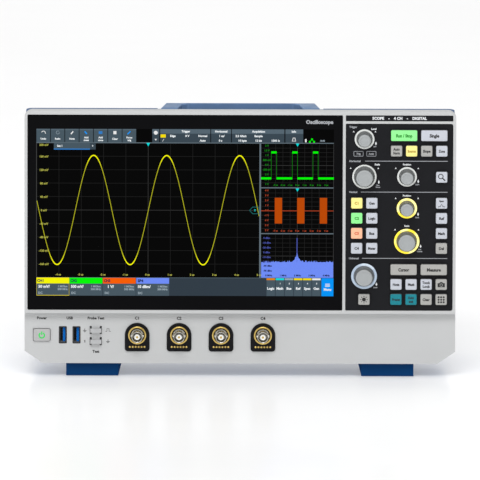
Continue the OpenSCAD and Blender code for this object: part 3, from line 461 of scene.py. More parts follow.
def board_finish(name, node, share, part_colour):
    """Green mask with tracks on the board, another finish on its parts past a share of the depth."""
    low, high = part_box(node)
    board_face = low.y + (high.y - low.y) * share
    made = Finish(name, (0.06, 0.3, 0.17), 0.4)
    wide = made.spread(made.noise(160, 1.0, (1, 1, 6)), 0.49, 0.52, 0.0, 1.0)
    board = made.blend(wide, linear((0.05, 0.27, 0.15)), linear((0.09, 0.38, 0.22)))
    parts = made.spread(made.axis("Y"), board_face - 0.1 * MM, board_face + 0.1 * MM, 0, 1)
    made.links.new(made.blend(parts, board, linear(part_colour)), made.shader.inputs["Base Color"])
    made.links.new(made.spread(parts, 0, 1, 0.0, 0.6), made.shader.inputs["Metallic"])
    return made.polish(200, 0.3, 0.5).grain(900, 0.15)


# ---------------------------------------------------------------- solids


def rounded(x, z, w, h, r, steps=6):
    """A rectangle with round corners, anticlockwise seen from the front."""
    points = []
    for sx, sz, start in ((1, -1, -90), (1, 1, 0), (-1, 1, 90), (-1, -1, 180)):
        for i in range(steps + 1):
            a = math.radians(start + 90 * i / steps)
            points.append((x + sx * (w / 2 - r) + r * math.cos(a), z + sz * (h / 2 - r) + r * math.sin(a)))
    return points


def circle(x, z, r, count=24, start=0.0, end=360.0):
    """Points along a circle or an arc of it, in degrees."""
    whole = abs(end - start) >= 360
    steps = count if whole else count - 1
    angles = [math.radians(start + (end - start) * i / steps) for i in range(count)]
    return [(x + r * math.cos(a), z + r * math.sin(a)) for a in angles]


def placed(name, data):
    """A new object of that name, linked to the scene."""
    made = bpy.data.objects.new(name, data)
    bpy.context.scene.collection.objects.link(made)
    return made


class Build:
    """Collects closed solids, in millimetres and depths, and makes one mesh of them."""

    def __init__(self, behind=False):
        """Starts an empty build, which is turned to face the rear in the end if it is behind."""
        self.mesh = bmesh.new()
        self.finishes = []
        self.behind = behind

    def mark(self, name):
        """The slot number of a finish, which gets a slot when it is new."""
        if name not in self.finishes:
            self.finishes.append(name)
        return self.finishes.index(name)

    def point(self, x, depth, z):
        """A vertex at a depth behind the bezel's front plane."""
        return self.mesh.verts.new((x * MM, (FRONT + depth) * MM, z * MM))

    def face(self, corners, mark):
        """A face that takes the finish of that mark."""
        face = self.mesh.faces.new(corners)
        face.material_index = mark
        return face

    def loft(self, rings, name, front_name=None, front_from=None):
        """Joins outlines of (points, depth), from the rearmost to the front one, and caps both ends."""
        mark, front_mark = self.mark(name), self.mark(front_name or name)
        loops = [[self.point(x, depth, z) for x, z in points] for points, depth in rings]
        count = len(loops[0])
        for k in range(len(loops) - 1):
            here = front_mark if front_from is not None and k >= front_from else mark
            for i in range(count):
                j = (i + 1) % count
                self.face((loops[k + 1][i], loops[k][i], loops[k][j], loops[k + 1][j]), here)
        self.face(loops[-1], front_mark)
        self.face(loops[0][::-1], mark)

    def prism(self, outline, near, far, name):
        """An outline drawn out from one depth to another."""
        self.loft([(outline, far), (outline, near)], name)

    def slab(self, x0, x1, z0, z1, near, far, name):
        """A box."""
        self.prism([(x0, z0), (x1, z0), (x1, z1), (x0, z1)], near, far, name)

    def band(self, upper, lower, near, far, name):
        """A closed strip between two lines of points that run the same way."""
        mark = self.mark(name)
        rows = [[self.point(x, d, z) for x, z in line]
                for line, d in ((upper, near), (lower, near), (lower, far), (upper, far))]
        last = len(upper) - 1
        for i in range(last):
            for a, b in ((0, 1), (1, 2), (2, 3), (3, 0)):
                self.face((rows[a][i], rows[b][i], rows[b][i + 1], rows[a][i + 1]), mark)
        self.face((rows[3][0], rows[2][0], rows[1][0], rows[0][0]), mark)
        self.face((rows[0][last], rows[1][last], rows[2][last], rows[3][last]), mark)

    def wall(self, outer, inner, near, far, name):
        """A closed wall between two outlines of the same count."""
        self.band(outer + outer[:1], inner + inner[:1], near, far, name)

    def stroke(self, points, widths, near, far, name, closed=False):
        """A line of one width, or of a width for each point."""
        count = len(points)
        if not isinstance(widths, (list, tuple)):
            widths = [widths] * count
        left, right = [], []
        for i, (x, z) in enumerate(points):
            before = points[i - 1] if i or closed else points[i]
            after = points[(i + 1) % count] if i < count - 1 or closed else points[i]
            along = Vector((after[0] - before[0], after[1] - before[1])).normalized()
            off = along.orthogonal() * widths[i] / 2
            left.append((x + off.x, z + off.y))
            right.append((x - off.x, z - off.y))
        if closed:
            left.append(left[0])
            right.append(right[0])
        self.band(left, right, near, far, name)

    def turned(self, profile, x, z, name, count=48, closed=False, face_name=None, face_to=0):
        """A shape turned about Y from (radius, depth) pairs, from its front middle to its rear one."""
        mark, face_mark = self.mark(name), self.mark(face_name or name)
        rings = []
        for r, depth in profile:
            if r == 0:
                rings.append([self.point(x, depth, z)] * count)
            else:
                rings.append([self.point(cx, depth, cz) for cx, cz in circle(x, z, r, count)])
        pairs = [(k, k + 1) for k in range(len(rings) - 1)] + ([(len(rings) - 1, 0)] if closed else [])
        for a, b in pairs:
            here = face_mark if a < face_to else mark
            for i in range(count):
                j = (i + 1) % count
                corners = (rings[a][i], rings[b][i], rings[b][j], rings[a][j])
                self.face(list(dict.fromkeys(corners)), here)

    def add(self, mesh, matrix, name=None):
        """Adds a mesh of its own, in metres, with one finish or its own marks."""
        mark = self.mark(name) if name else None
        known = len(self.mesh.verts)
        faces = len(self.mesh.faces)
        self.mesh.from_mesh(mesh)
        self.mesh.verts.ensure_lookup_table()
        self.mesh.faces.ensure_lookup_table()
        bmesh.ops.transform(self.mesh, matrix=matrix, verts=self.mesh.verts[known:])
        for face in self.mesh.faces[faces:]:
            face.material_index = mark if mark is not None else face.material_index

    def text(self, words, x, z, height, near, name, width=None, align="CENTER"):
        """Raised lettering whose capitals have that height, squeezed to a width if one is given."""
        for row, line in enumerate(reversed(words.split("\n"))):
            mesh, span = lettering(line, align)
            tall = height / CAP_HEIGHT
            wide = min(tall, width / span) if width and span * tall > width else tall
            rise = row * height * 1.55 - height * (0.5 + 0.775 * words.count("\n"))
            thick = Matrix.Diagonal((wide * MM, tall * MM, INK * MM, 1))
            y = FRONT + near + INK / 2
            place = Matrix.Translation(Vector((x, y, z + rise)) * MM)
            self.add(mesh, place @ Matrix.Rotation(math.pi / 2, 4, "X") @ thick, name)

    def bare(self, name, matrix):
        """What was collected as a mesh without finishes, moved by a matrix."""
        mesh = bpy.data.meshes.new(name)
        bmesh.ops.transform(self.mesh, matrix=matrix, verts=self.mesh.verts)
        self.mesh.to_mesh(mesh)
        self.mesh.free()
        return mesh

    def object(self, name):
        """What was collected as an object with its finishes."""
        mesh = self.bare(name, Matrix.Rotation(math.pi, 4, "Z") if self.behind else Matrix())
        for wanted in self.finishes:
            mesh.materials.append(finish(wanted))
        smooth_mesh(mesh, 35)
        return placed(name, mesh)


LETTERS = {}


def lettering(line, align):
    """A line of text as a welded mesh one unit high and thick, and its width."""
    key = (line, align)
    if key not in LETTERS:
        curve = bpy.data.curves.new("lettering", "FONT")
        curve.body = line
        curve.align_x = align
        curve.resolution_u = 2
        curve.extrude = 0.5
        curve.offset = BOLD
        source = placed("lettering", curve)
        graph = bpy.context.evaluated_depsgraph_get()
        mesh = bpy.data.meshes.new_from_object(source.evaluated_get(graph), depsgraph=graph)
        bpy.data.objects.remove(source)
        work = bmesh.new()
        work.from_mesh(mesh)
        bmesh.ops.remove_doubles(work, verts=work.verts, dist=0.0008)
        work.to_mesh(mesh)
        work.free()
        xs = [v.co.x for v in mesh.vertices] or [0.0, 1.0]
        LETTERS[key] = (mesh, max(xs) - min(xs))
    return LETTERS[key]


def smooth_mesh(mesh, degrees):
    """Smooth shading with sharp edges past an angle."""
    mesh.shade_smooth()
    mesh.set_sharp_from_angle(angle=math.radians(degrees))
    mesh.update()


def install(piece, body, slot, *nodes):
    """Makes a piece ride on its body and stand for the CAD nodes given."""
    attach(piece, body)
    if nodes:
        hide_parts(*nodes)
    return piece


def plain(piece):
    """Turns the evaluated piece into a plain mesh and drops its modifiers."""
    graph = bpy.context.evaluated_depsgraph_get()
    mesh = bpy.data.meshes.new_from_object(piece.evaluated_get(graph), depsgraph=graph)
    piece.modifiers.clear()
    piece.data = mesh
    return piece


def softened(node, name, finish_name, width, body="root", slot=None, segments=2, change=None):
    """A copy of a CAD node with its edges rounded, which stands for that node."""
    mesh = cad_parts[node].data.copy()
    work = bmesh.new()
    work.from_mesh(mesh)
    bmesh.ops.remove_doubles(work, verts=work.verts, dist=0.000002)
    bmesh.ops.dissolve_limit(work, angle_limit=math.radians(0.6), verts=work.verts, edges=work.edges)
    if change:
        change(work)
    work.to_mesh(mesh)
    work.free()
    mesh.materials.clear()
    mesh.materials.append(finish(finish_name))
    mesh.materials.append(finish(finish_name + "_edge"))
    piece = placed(name, mesh)
    bevel = piece.modifiers.new("rounding", "BEVEL")
    bevel.width = width * MM
    bevel.segments = segments
    bevel.limit_method = "ANGLE"
    bevel.angle_limit = math.radians(30)
    bevel.use_clamp_overlap = True
    bevel.material = 1
    plain(piece)
    smooth_mesh(piece.data, 32)
    piece.modifiers.new("flat faces", "WEIGHTED_NORMAL").keep_sharp = True
    plain(piece)
    return install(piece, body, slot or node, node)


def refinish(node, finish_name):
    """Gives a CAD node that keeps its shape its finish."""
    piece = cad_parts[node]
    piece.data.materials.clear()
    piece.data.materials.append(finish(finish_name))


# ---------------------------------------------------------------- repeated pieces


def new_tree(name, inputs):
    """A Geometry Nodes tree with named inputs of (name, socket type, default)."""
    tree = bpy.data.node_groups.new(name, "GeometryNodeTree")
    tree.interface.new_socket("Geometry", in_out="INPUT", socket_type="NodeSocketGeometry")
    for label, kind, default in inputs:
        socket = tree.interface.new_socket(label, in_out="INPUT", socket_type="NodeSocket" + kind)
        if default is not None:
            socket.default_value = default
    tree.interface.new_socket("Geometry", in_out="OUTPUT", socket_type="NodeSocketGeometry")
    tree.nodes.new("NodeGroupInput")
    tree.nodes.new("NodeGroupOutput")
    return tree


def wire(tree, pairs):
    """Links the output of each pair to its input."""
    for output, target in pairs:
        tree.links.new(output, target)


def calculation(nodes, operation, second=None):
    """A Math node of one operation, with its second value if that is fixed."""
    node = nodes.new("ShaderNodeMath")
    node.operation = operation
    if second is not None:
        node.inputs[1].default_value = second
    return node


def finish_tree(tree, instances):
    """Ends a tree in Realize Instances and Set Material."""
    enter = tree.nodes["Group Input"].outputs
    realize = tree.nodes.new("GeometryNodeRealizeInstances")
    paint = tree.nodes.new("GeometryNodeSetMaterial")
    wire(tree, [(instances, realize.inputs["Geometry"]),
                (realize.outputs["Geometry"], paint.inputs["Geometry"]),
                (enter["Material"], paint.inputs["Material"]),
                (paint.outputs["Geometry"], tree.nodes["Group Output"].inputs["Geometry"])])
    return tree


def rib_tree():
    """Ribs around a round grip: a slim bar on each point of a circle, turned to face outwards."""
    tree = new_tree("ribs around a grip", [
        ("Count", "Int", 36), ("Radius", "Float", 0.009), ("Width", "Float", 0.0006),
        ("Height", "Float", 0.0004), ("Length", "Float", 0.01), ("Tilt", "Float", 0.0),
        ("Material", "Material", None)])
    enter = tree.nodes["Group Input"].outputs
    ring = tree.nodes.new("GeometryNodeMeshCircle")
    bar = tree.nodes.new("GeometryNodeMeshCube")
    sizes = tree.nodes.new("ShaderNodeCombineXYZ")
    place = tree.nodes.new("GeometryNodeInputPosition")
    turn = tree.nodes.new("FunctionNodeAlignRotationToVector")
    turn.axis = "X"
    lean = tree.nodes.new("ShaderNodeCombineXYZ")
    angle = tree.nodes.new("FunctionNodeEulerToRotation")
    tilt = tree.nodes.new("FunctionNodeRotateRotation")
    tilt.rotation_space = "LOCAL"
    spread = tree.nodes.new("GeometryNodeInstanceOnPoints")
    wire(tree, [(enter["Count"], ring.inputs["Vertices"]), (enter["Radius"], ring.inputs["Radius"]),
                (enter["Height"], sizes.inputs["X"]), (enter["Width"], sizes.inputs["Y"]),
                (enter["Length"], sizes.inputs["Z"]), (enter["Tilt"], lean.inputs["Y"]),
                (sizes.outputs["Vector"], bar.inputs["Size"]),
                (place.outputs["Position"], turn.inputs["Vector"]),
                (lean.outputs["Vector"], angle.inputs["Euler"]),
                (turn.outputs["Rotation"], tilt.inputs["Rotation"]),
                (angle.outputs["Rotation"], tilt.inputs["Rotate By"]),
                (ring.outputs["Mesh"], spread.inputs["Points"]),
                (bar.outputs["Mesh"], spread.inputs["Instance"]),
                (tilt.outputs["Rotation"], spread.inputs["Rotation"])])
    return finish_tree(tree, spread.outputs["Instances"])


def stud_tree():
    """Rows of round studs: a low dome on each point of a grid."""
    tree = new_tree("rows of studs", [
        ("Columns", "Int", 6), ("Rows", "Int", 1), ("Pitch", "Float", 0.00254),
        ("Stud Radius", "Float", 0.0007), ("Flatness", "Float", 0.6), ("Material", "Material", None)])
    enter = tree.nodes["Group Input"].outputs
    grid = tree.nodes.new("GeometryNodeMeshGrid")
    dome = tree.nodes.new("GeometryNodeMeshUVSphere")
    dome.inputs["Segments"].default_value = 16
    dome.inputs["Rings"].default_value = 8
    flat = tree.nodes.new("ShaderNodeCombineXYZ")
    flat.inputs["X"].default_value = 1.0
    flat.inputs["Y"].default_value = 1.0
    spread = tree.nodes.new("GeometryNodeInstanceOnPoints")
    for label, side in (("Columns", "X"), ("Rows", "Y")):
        less = calculation(tree.nodes, "SUBTRACT", 1.0)
        span = calculation(tree.nodes, "MULTIPLY")
        wire(tree, [(enter[label], less.inputs[0]), (less.outputs["Value"], span.inputs[0]),
                    (enter["Pitch"], span.inputs[1]),
                    (span.outputs["Value"], grid.inputs["Size " + side]),
                    (enter[label], grid.inputs["Vertices " + side])])
    wire(tree, [(enter["Stud Radius"], dome.inputs["Radius"]), (enter["Flatness"], flat.inputs["Z"]),
                (grid.outputs["Mesh"], spread.inputs["Points"]),
                (dome.outputs["Mesh"], spread.inputs["Instance"]),
                (flat.outputs["Vector"], spread.inputs["Scale"])])
    return finish_tree(tree, spread.outputs["Instances"])


def fastener_tree():
    """Fasteners: a copy of one object on each point of the mesh that carries the modifier."""
    tree = new_tree("fasteners on points", [
        ("Fastener", "Object", None), ("Size", "Float", 1.0), ("Material", "Material", None)])
    enter = tree.nodes["Group Input"].outputs
    source = tree.nodes.new("GeometryNodeObjectInfo")
    spread = tree.nodes.new("GeometryNodeInstanceOnPoints")
    wire(tree, [(enter["Fastener"], source.inputs["Object"]),
                (enter["Geometry"], spread.inputs["Points"]),
                (source.outputs["Geometry"], spread.inputs["Instance"]),
                (enter["Size"], spread.inputs["Scale"])])
    return finish_tree(tree, spread.outputs["Instances"])


TREES = {}


def grown(maker, inputs, points=()):
    """The mesh that a tree makes from its inputs and, where it takes them, from points."""
    if maker not in TREES:
        TREES[maker] = maker()
    tree = TREES[maker]
    mesh = bpy.data.meshes.new("points")
    mesh.from_pydata([tuple(p) for p in points], [], [])
    holder = placed("holder", mesh)
    modifier = holder.modifiers.new("pattern", "NODES")
    modifier.node_group = tree
    sockets = {s.name: s.identifier for s in tree.interface.items_tree if s.in_out == "INPUT"}
    for label, value in inputs.items():
        modifier[sockets[label]] = value
    plain(holder)
    result = holder.data
    bpy.data.objects.remove(holder)
    return result


def facing_front(x, depth, z):
    """Places a mesh made around Z so that its +Z looks out of the front, in millimetres."""
    place = Matrix.Translation(Vector((x, FRONT + depth, z)) * MM)
    return place @ Matrix.Rotation(math.pi / 2, 4, "X")


# ---------------------------------------------------------------- front


class SCOPE_OT_front_bezel(bpy.types.Operator):
    """Makes the light front bezel and the label strip above the key panel"""

    bl_idname = "scope.front_bezel"
    bl_label = "Front bezel"

    def execute(self, context):
        case = context.scene.scope_case
        softened("front_bezel", "bezel_moulding", "bezel_plastic", case.bezel_edge, segments=3)
        strip = Build()
        strip_h, face, back = 4.9, 0.25, 0.6
        x0, x1 = PANEL_LOW.x / MM, PANEL_HIGH.x / MM
        z1 = GLASS_HIGH.z / MM
        z0 = z1 - strip_h
        x, z = (x0 + x1) / 2, (z0 + z1) / 2
        strip.prism(rounded(x, z, x1 - x0, z1 - z0, 0.6), face, back, "panel_plastic")
        strip.text("SCOPE    -    4 CH    -    DIGITAL", x, z, 2.3, face - INK, "white_ink", 60)
        install(strip.object("label_strip"), "root", "key_panel")
        return {"FINISHED"}


class SCOPE_OT_display_glass(bpy.types.Operator):
    """Makes the cover glass with its printed word and the display module behind it"""

    bl_idname = "scope.display_glass"
    bl_label = "Display glass"

    def execute(self, context):
        softened("display_glass", "cover_glass_pane", "cover_glass", 0.3)
        refinish("lcd_module", "screen_frame")
        prints = Build()
        prints.text("Oscilloscope", 68.2, TOP - 9.3, 3.1, GLASS_DEPTH - INK, "grey_ink", 26)
        install(prints.object("glass_print"), "root", "display_glass")
        return {"FINISHED"}


# Depths of the layers of the display image, in front of the glass, and how far each one reaches
# into the layer behind it.
LAYER = [GLASS_DEPTH - 0.03 * k for k in range(6)]
LAP = 0.005

# Parts of the display image, across and down from its corner.
TOOLS_BOTTOM = 11.7
DIAGRAM_TOP, DIAGRAM_BOTTOM = 12.1, 129.8
MAIN_RIGHT, SIDE_LEFT = 192.4, 193.6
SIDE_RULES = (51.1, 91.2)


class Image(Build):
    """The display image, drawn across and down from the corner of its active area."""

    def at(self, u, v):
        """The point that lies across and down from the image's corner."""
        return SCREEN_LEFT + u, SCREEN_TOP - v

    def area(self, u0, u1, v0, v1, name, layer=1):
        """A filled rectangle."""
        x0, z1 = self.at(u0, v0)
        x1, z0 = self.at(u1, v1)
        self.slab(x0, x1, z0, z1, LAYER[layer], LAYER[layer - 1] + LAP, name)

    def word(self, words, u, v, height, name="screen_text", width=None, layer=4):
        """Lettering around a point, with the height of its capitals and the width it may take."""
        x, z = self.at(u, v)
        self.text(words, x, z, height, LAYER[layer], name, width)

    def line(self, points, width, name, layer=2, closed=False):
        """A line through points, of one width or of a width for each point."""
        self.stroke([self.at(u, v) for u, v in points], width, LAYER[layer],
                    LAYER[layer - 1] + LAP, name, closed)

    def wedge(self, u, v, half, tall, name, layer=4):
        """A small triangle that points down."""
        corners = [self.at(u - half, v), self.at(u, v + tall), self.at(u + half, v)]
        self.prism(corners, LAYER[layer], LAYER[layer - 1], name)


def draw_grid(image, u0, u1, v0, v1, columns, rows):
    """Faint division lines with stronger middle lines."""
    half = 0.14
    for i in range(1, columns):
        u = u0 + (u1 - u0) * i / columns
        name = "screen_axis" if 2 * i == columns else "screen_grid"
        image.area(u - half, u + half, v0, v1, name, 2)
    for i in range(1, rows):
        v = v0 + (v1 - v0) * i / rows
        name = "screen_axis" if 2 * i == rows else "screen_grid"
        image.area(u0, u1, v - half, v + half, name, 2)


def draw_tools(image):
    """The rows of tool and status cells along the top of the image."""
    words = ("Undo", "Redo", "Note", "Add\nmeas", "Add\nzone", "Clear", "Force\ntrig")
    pitch = 12.35
    for i, word in enumerate(words):
        u = pitch * i
        image.area(u, u + pitch - 0.6, 0, TOOLS_BOTTOM, "screen_cell", 2)
        image.area(u, u + pitch - 0.6, 0, 1.0, "screen_head", 3)
        image.word(word, u + 5.9, 8.6, 1.5, "screen_text", 10.4)
    icons = "screen_white"
    image.line([(4.4, 3.0), (5.6, 1.9), (7.2, 2.3), (7.8, 4.2)], 0.6, icons, 4)
    ring = [(18.4 + 1.4 * math.cos(a / 2), 3.2 + 1.4 * math.sin(a / 2)) for a in range(12)]
    image.line(ring, 0.35, "screen_grey", 4)
    image.line([(29.7, 4.6), (31.6, 2.2)], 1.0, icons, 4)
    image.line([(41.6, 2.2), (43.4, 4.4)], 1.1, "screen_blue", 4)
    image.area(53.6, 56.8, 2.0, 4.4, "screen_link", 4)
    image.area(66.3, 68.9, 1.8, 4.6, icons, 4)
    image.line([(78.4, 4.6), (81.0, 2.0)], 0.9, "screen_blue", 4)
    cells = ((99.8, 105.8), (106.6, 149.8), (150.5, 167.7), (168.4, 213.6), (214.5, 229.8))
    for u0, u1 in cells:
        image.area(u0, u1, 0, TOOLS_BOTTOM, "screen_slate", 2)
        image.area(u0, u1, 0, 3.9, "screen_head", 3)
    x, z = image.at(102.8, 3.2)
    image.prism(circle(x, z, 1.7, 16), LAYER[4], LAYER[3], icons)
    image.wedge(102.8, 8.6, 1.0, 1.5, icons)
    image.area(106.9, 111.4, 4.6, 7.4, "screen_gold", 4)
    for word, u, v, w in (
            ("Trigger", 128.7, 1.9, 9), ("Horizontal", 159.2, 1.9, 14), ("Acquisition", 191.4, 1.9, 15),
            ("Info", 221.8, 1.9, 7), ("Edge", 117.5, 5.9, 7), ("0 V", 130, 5.9, 5),
            ("Normal", 143.3, 5.9, 9), ("Auto", 143.3, 9.9, 6), ("1 us/", 159.6, 5.9, 9),
            ("0 s", 158.6, 9.9, 5), ("2.5 GSa/s", 176.2, 5.9, 11), ("Sample", 191.3, 5.9, 8.5),
            ("10 kpts", 177.4, 9.9, 9), ("12 bit", 191.3, 9.9, 6.6), ("1500 /s", 206, 9.9, 9)):
        image.word(word, u, v, 1.7, "screen_text", w + 1)
    image.line([(108.6, 10.9), (109.8, 8.6)], 0.35, icons, 4)
    image.line([(220.4, 10.2), (223.4, 10.2), (222.6, 7.4), (221.2, 7.4)], 0.7, icons, 4, True)
    image.area(231.4, 232.8, 8.4, 11.2, icons, 4)
    for u, v in ((237.4, 8.6), (235.6, 10.8), (239.2, 10.8)):
        image.area(u - 0.75, u + 0.75, v - 0.75, v + 0.75, "screen_green", 4)
    image.line([(237.4, 8.6), (235.6, 10.8)], 0.4, "screen_green", 3)
    image.line([(237.4, 8.6), (239.2, 10.8)], 0.4, "screen_green", 3)
    image.word("10:45", 246.4, 9.9, 1.3, "screen_grey", 6.5)


def draw_main_diagram(image, display):
    """The wide diagram with its sine trace, scales and markers."""
    period, peak_u = 62.95, 49.3
    draw_grid(image, 0.2, MAIN_RIGHT, DIAGRAM_TOP, DIAGRAM_BOTTOM, 10, 10)
    image.area(-0.2, 0.35, DIAGRAM_TOP, DIAGRAM_BOTTOM, "screen_axis", 3)
    steps = 300
    points, widths = [], []
    for i in range(steps + 1):
        u = 0.4 + (MAIN_RIGHT - 0.8) * i / steps
        phase = 2 * math.pi * (u - peak_u) / period
        points.append((u, TRACE_V - TRACE_RISE * math.cos(phase)))
        widths.append(display.trace_w * (0.55 + 0.45 * abs(math.cos(phase)) ** 6))
    image.line(points, widths, "trace", 3)
    for k in range(10):
        v = max(14.0, 12.4 + 11.77 * k)
        image.word(f"{200 - 40 * k} mV", 6.4, v, 1.7, "screen_scale", 9.4, 3)
    for k in range(1, 11):
        u = 19.24 * k
        image.word(f"{k - 5} us", u - 0.4, 127.4, 1.6, "screen_scale", 6, 3)
    image.area(15.0, 46.1, DIAGRAM_TOP, 18.0, "screen_cell", 4)
    image.area(46.1, 51.0, DIAGRAM_TOP, 18.0, "screen_slate", 4)
    image.area(15.0, 46.1, 17.2, 18.1, "screen_link", 5)
    image.word("Set 1", 20.2, 14.8, 1.6, "screen_text", 7, 5)
    image.word("+", 48.4, 14.8, 1.6, "screen_text", 3, 5)
    image.wedge(96.3, DIAGRAM_TOP, 1.6, 3.0, "screen_cyan")
    tag = [(183.8, TRACE_V), (186.4, TRACE_V - 2.9), (191.8, TRACE_V - 2.9),
           (191.8, TRACE_V + 2.9), (186.4, TRACE_V + 2.9)]
    image.line(tag, 0.6, "screen_teal", 4, True)
    image.word("T", 188.4, TRACE_V, 1.6, "screen_cyan", 2, 4)


def draw_side_scales(image, top, rows, pitch, words, name, foot):
    """The scales of one of the small diagrams."""
    for k in range(rows):
        image.word(words[k % len(words)], 198.6, top + pitch * k, 1.5, name, 7, 3)
    if foot:
        for k in range(8):
            image.word(f"{k - 3} us", 206.1 + 6.25 * k, foot, 1.4, name, 5.6, 3)


def draw_pulses(image):
    """The upper small diagram: narrow green pulses."""
    high, low, thick = 20.1, 42.8, 0.95
    draw_grid(image, SIDE_LEFT, SCREEN_W, DIAGRAM_TOP + 0.5, SIDE_RULES[0] - 0.6, 10, 10)
    edges = ((202.4, 207.0), (220.5, 225.0), (238.3, 242.8))
    start = SIDE_LEFT
    for rise, fall in edges:
        image.area(start, rise, low - thick, low + thick, "screen_green", 4)
        image.area(rise, fall, high - thick, high + thick, "screen_green", 4)
        for u in (rise, fall):
            image.area(u - 0.2, u + 0.2, high, low, "screen_dim_green", 3)
        start = fall
    image.area(start, SCREEN_W, low - thick, low + thick, "screen_green", 4)
    draw_side_scales(image, 14.2, 9, 4.2, ("2 V", "1.5 V", "1 V", "500 mV", "0 V", "-500 mV"),
                     "screen_dim_green", 48.6)
    image.wedge(225.0, DIAGRAM_TOP + 0.2, 1.5, 2.8, "screen_cyan")


def draw_bursts(image):
    """The middle small diagram: filled orange bursts on a line."""
    top, bottom, mid_v = 59.8, 82.3, 71.2
    draw_grid(image, SIDE_LEFT, SCREEN_W, SIDE_RULES[0] + 0.6, SIDE_RULES[1] - 0.6, 10, 10)
    for u0, u1 in ((205.5, 211.8), (224.8, 231.1), (244.3, 250.6)):
        image.area(u0, u1, top, bottom, "screen_bar_orange", 4)
    image.area(SIDE_LEFT, SCREEN_W, mid_v - 0.35, mid_v + 0.35, "screen_dim_orange", 3)
    draw_side_scales(image, 53.4, 9, 4.35, ("4 V", "3 V", "2 V", "1 V", "0 V", "-1 V"),
                     "screen_dim_orange", 88.6)
    image.wedge(225.0, SIDE_RULES[0] + 0.5, 1.5, 2.8, "screen_cyan")


def draw_spectrum(image, display):
    """The lower small diagram: a noise floor with one tall peak."""
    floor_v, peak_u, peak_v = 116.4, 224.8, 95.0
    draw_grid(image, SIDE_LEFT, SCREEN_W, SIDE_RULES[1] + 0.6, DIAGRAM_BOTTOM, 10, 10)
    chance = random.Random(display.noise_seed)
    steps = 150
    upper, lower = [], []
    for i in range(steps + 1):
        u = SIDE_LEFT + 0.3 + (SCREEN_W - SIDE_LEFT - 0.5) * i / steps
        skirt = 8.5 * math.exp(-abs(u - peak_u) / 1.6)
        ripple = 1.6 * chance.random() ** 4 + 0.5 * chance.random()
        upper.append(image.at(u, floor_v - skirt - ripple))
        lower.append(image.at(u, DIAGRAM_BOTTOM))
    image.band(upper, lower, LAYER[3], LAYER[2], "screen_periwinkle")
    image.area(peak_u - 0.45, peak_u + 0.45, peak_v, floor_v, "screen_dim_blue", 3)
    draw_side_scales(image, 95.0, 6, 4.2, ("0 dBm", "-10 dBm", "-20 dBm"), "screen_dim_blue", None)
    for k in range(2):
        image.word("-90 dBm", 199.4, 119.4 + 4.3 * k, 1.5, "screen_dark", 10)
    for k in range(5):
        image.word(f"{k} MHz", 200.4 + 12.4 * k, 127.8, 1.5, "screen_dark", 9)


def draw_bottom_bar(image):
    """The channel tabs, the small cells and the menu button."""
    top, head, end = 130.3, 135.3, SCREEN_H
    image.area(0, SCREEN_W, DIAGRAM_BOTTOM + 0.2, end, "screen_bar", 2)
    image.area(0, 245.6, DIAGRAM_BOTTOM + 0.1, top, "screen_head", 3)
    tabs = ((0, "screen_yellow", "CH1", "50 mV/"), (28.6, "screen_green", "CH2", "500 mV/"),
            (57.4, "screen_orange", "CH3", "1 V/"), (86.2, "screen_periwinkle", "SP4", "10 dBm/"))
    for u, name, title, scale in tabs:
        image.area(u, u + 28.3, top, head, name, 3)
        image.area(u, u + 28.3, head, end, "screen_cell", 3)
        image.word(title, u + 3.6, 132.8, 2.3, "screen_dark", 5.6)
        image.word(scale, u + 6.6, 137.9, 2.3, "screen_text", 11)
        image.word("1 MOhm\n500 MHz", u + 22.6, 139.0, 1.6, "screen_grey", 9.6)
        image.word("DC", u + 3.4, 143.5, 1.8, "screen_grey", 3.8)
    outline = [(0.25, top), (28.2, top), (28.2, end - 0.25), (0.25, end - 0.25)]
    image.line(outline, 0.4, "screen_gold", 4, True)
    cells = (("Logic", "screen_amber"), ("Math", "screen_cyan"), ("Bus", "screen_grey"),
             ("Ref", "screen_gold"), ("Spec", "screen_gold"), ("Gen", "screen_white"))
    for i, (word, name) in enumerate(cells):
        u = 198.6 + 7.87 * i
        image.area(u, u + 7.3, top, end, "screen_cell", 3)
        image.area(u, u + 7.3, top, top + 1.6, name, 4)
        image.word(word, u + 3.6, 139.2, 2.0, "screen_text", 6.6)
        if i:
            image.word(str(i), u + 3.9, 134.9, 1.2, "screen_text", 2)
    image.area(246.0, SCREEN_W, DIAGRAM_BOTTOM + 0.4, end, "screen_blue", 3)
    for k in range(3):
        image.area(249.2, 253.2, 135.0 + 1.0 * k, 135.55 + 1.0 * k, "screen_white", 4)
    image.word("Menu", 251.2, 140.0, 2.0, "screen_white", 8)


class SCOPE_OT_display_image(bpy.types.Operator):
    """Draws the lit display image: tool cells, three small diagrams, the wide diagram and tabs"""

    bl_idname = "scope.display_image"
    bl_label = "Display image"

    def execute(self, context):
        display = context.scene.scope_display
        image = Image()
        image.area(0, SCREEN_W, 0, SCREEN_H, "screen_black", 1)
        draw_tools(image)
        draw_main_diagram(image, display)
        draw_pulses(image)
        draw_bursts(image)
        draw_spectrum(image, display)
        image.area(0, SCREEN_W, TOOLS_BOTTOM, DIAGRAM_TOP + 0.3, "screen_rule", 3)
        image.area(MAIN_RIGHT - 0.2, SIDE_LEFT, DIAGRAM_TOP, DIAGRAM_BOTTOM + 0.4, "screen_rule", 3)
        for v in SIDE_RULES:
            image.area(SIDE_LEFT, SCREEN_W, v - 0.45, v + 0.45, "screen_rule", 3)
        image.area(SCREEN_W - 0.3, SCREEN_W, DIAGRAM_TOP, DIAGRAM_BOTTOM, "screen_axis", 3)
        draw_bottom_bar(image)
        install(image.object("display_picture"), "root", "lcd_module")
        return {"FINISHED"}


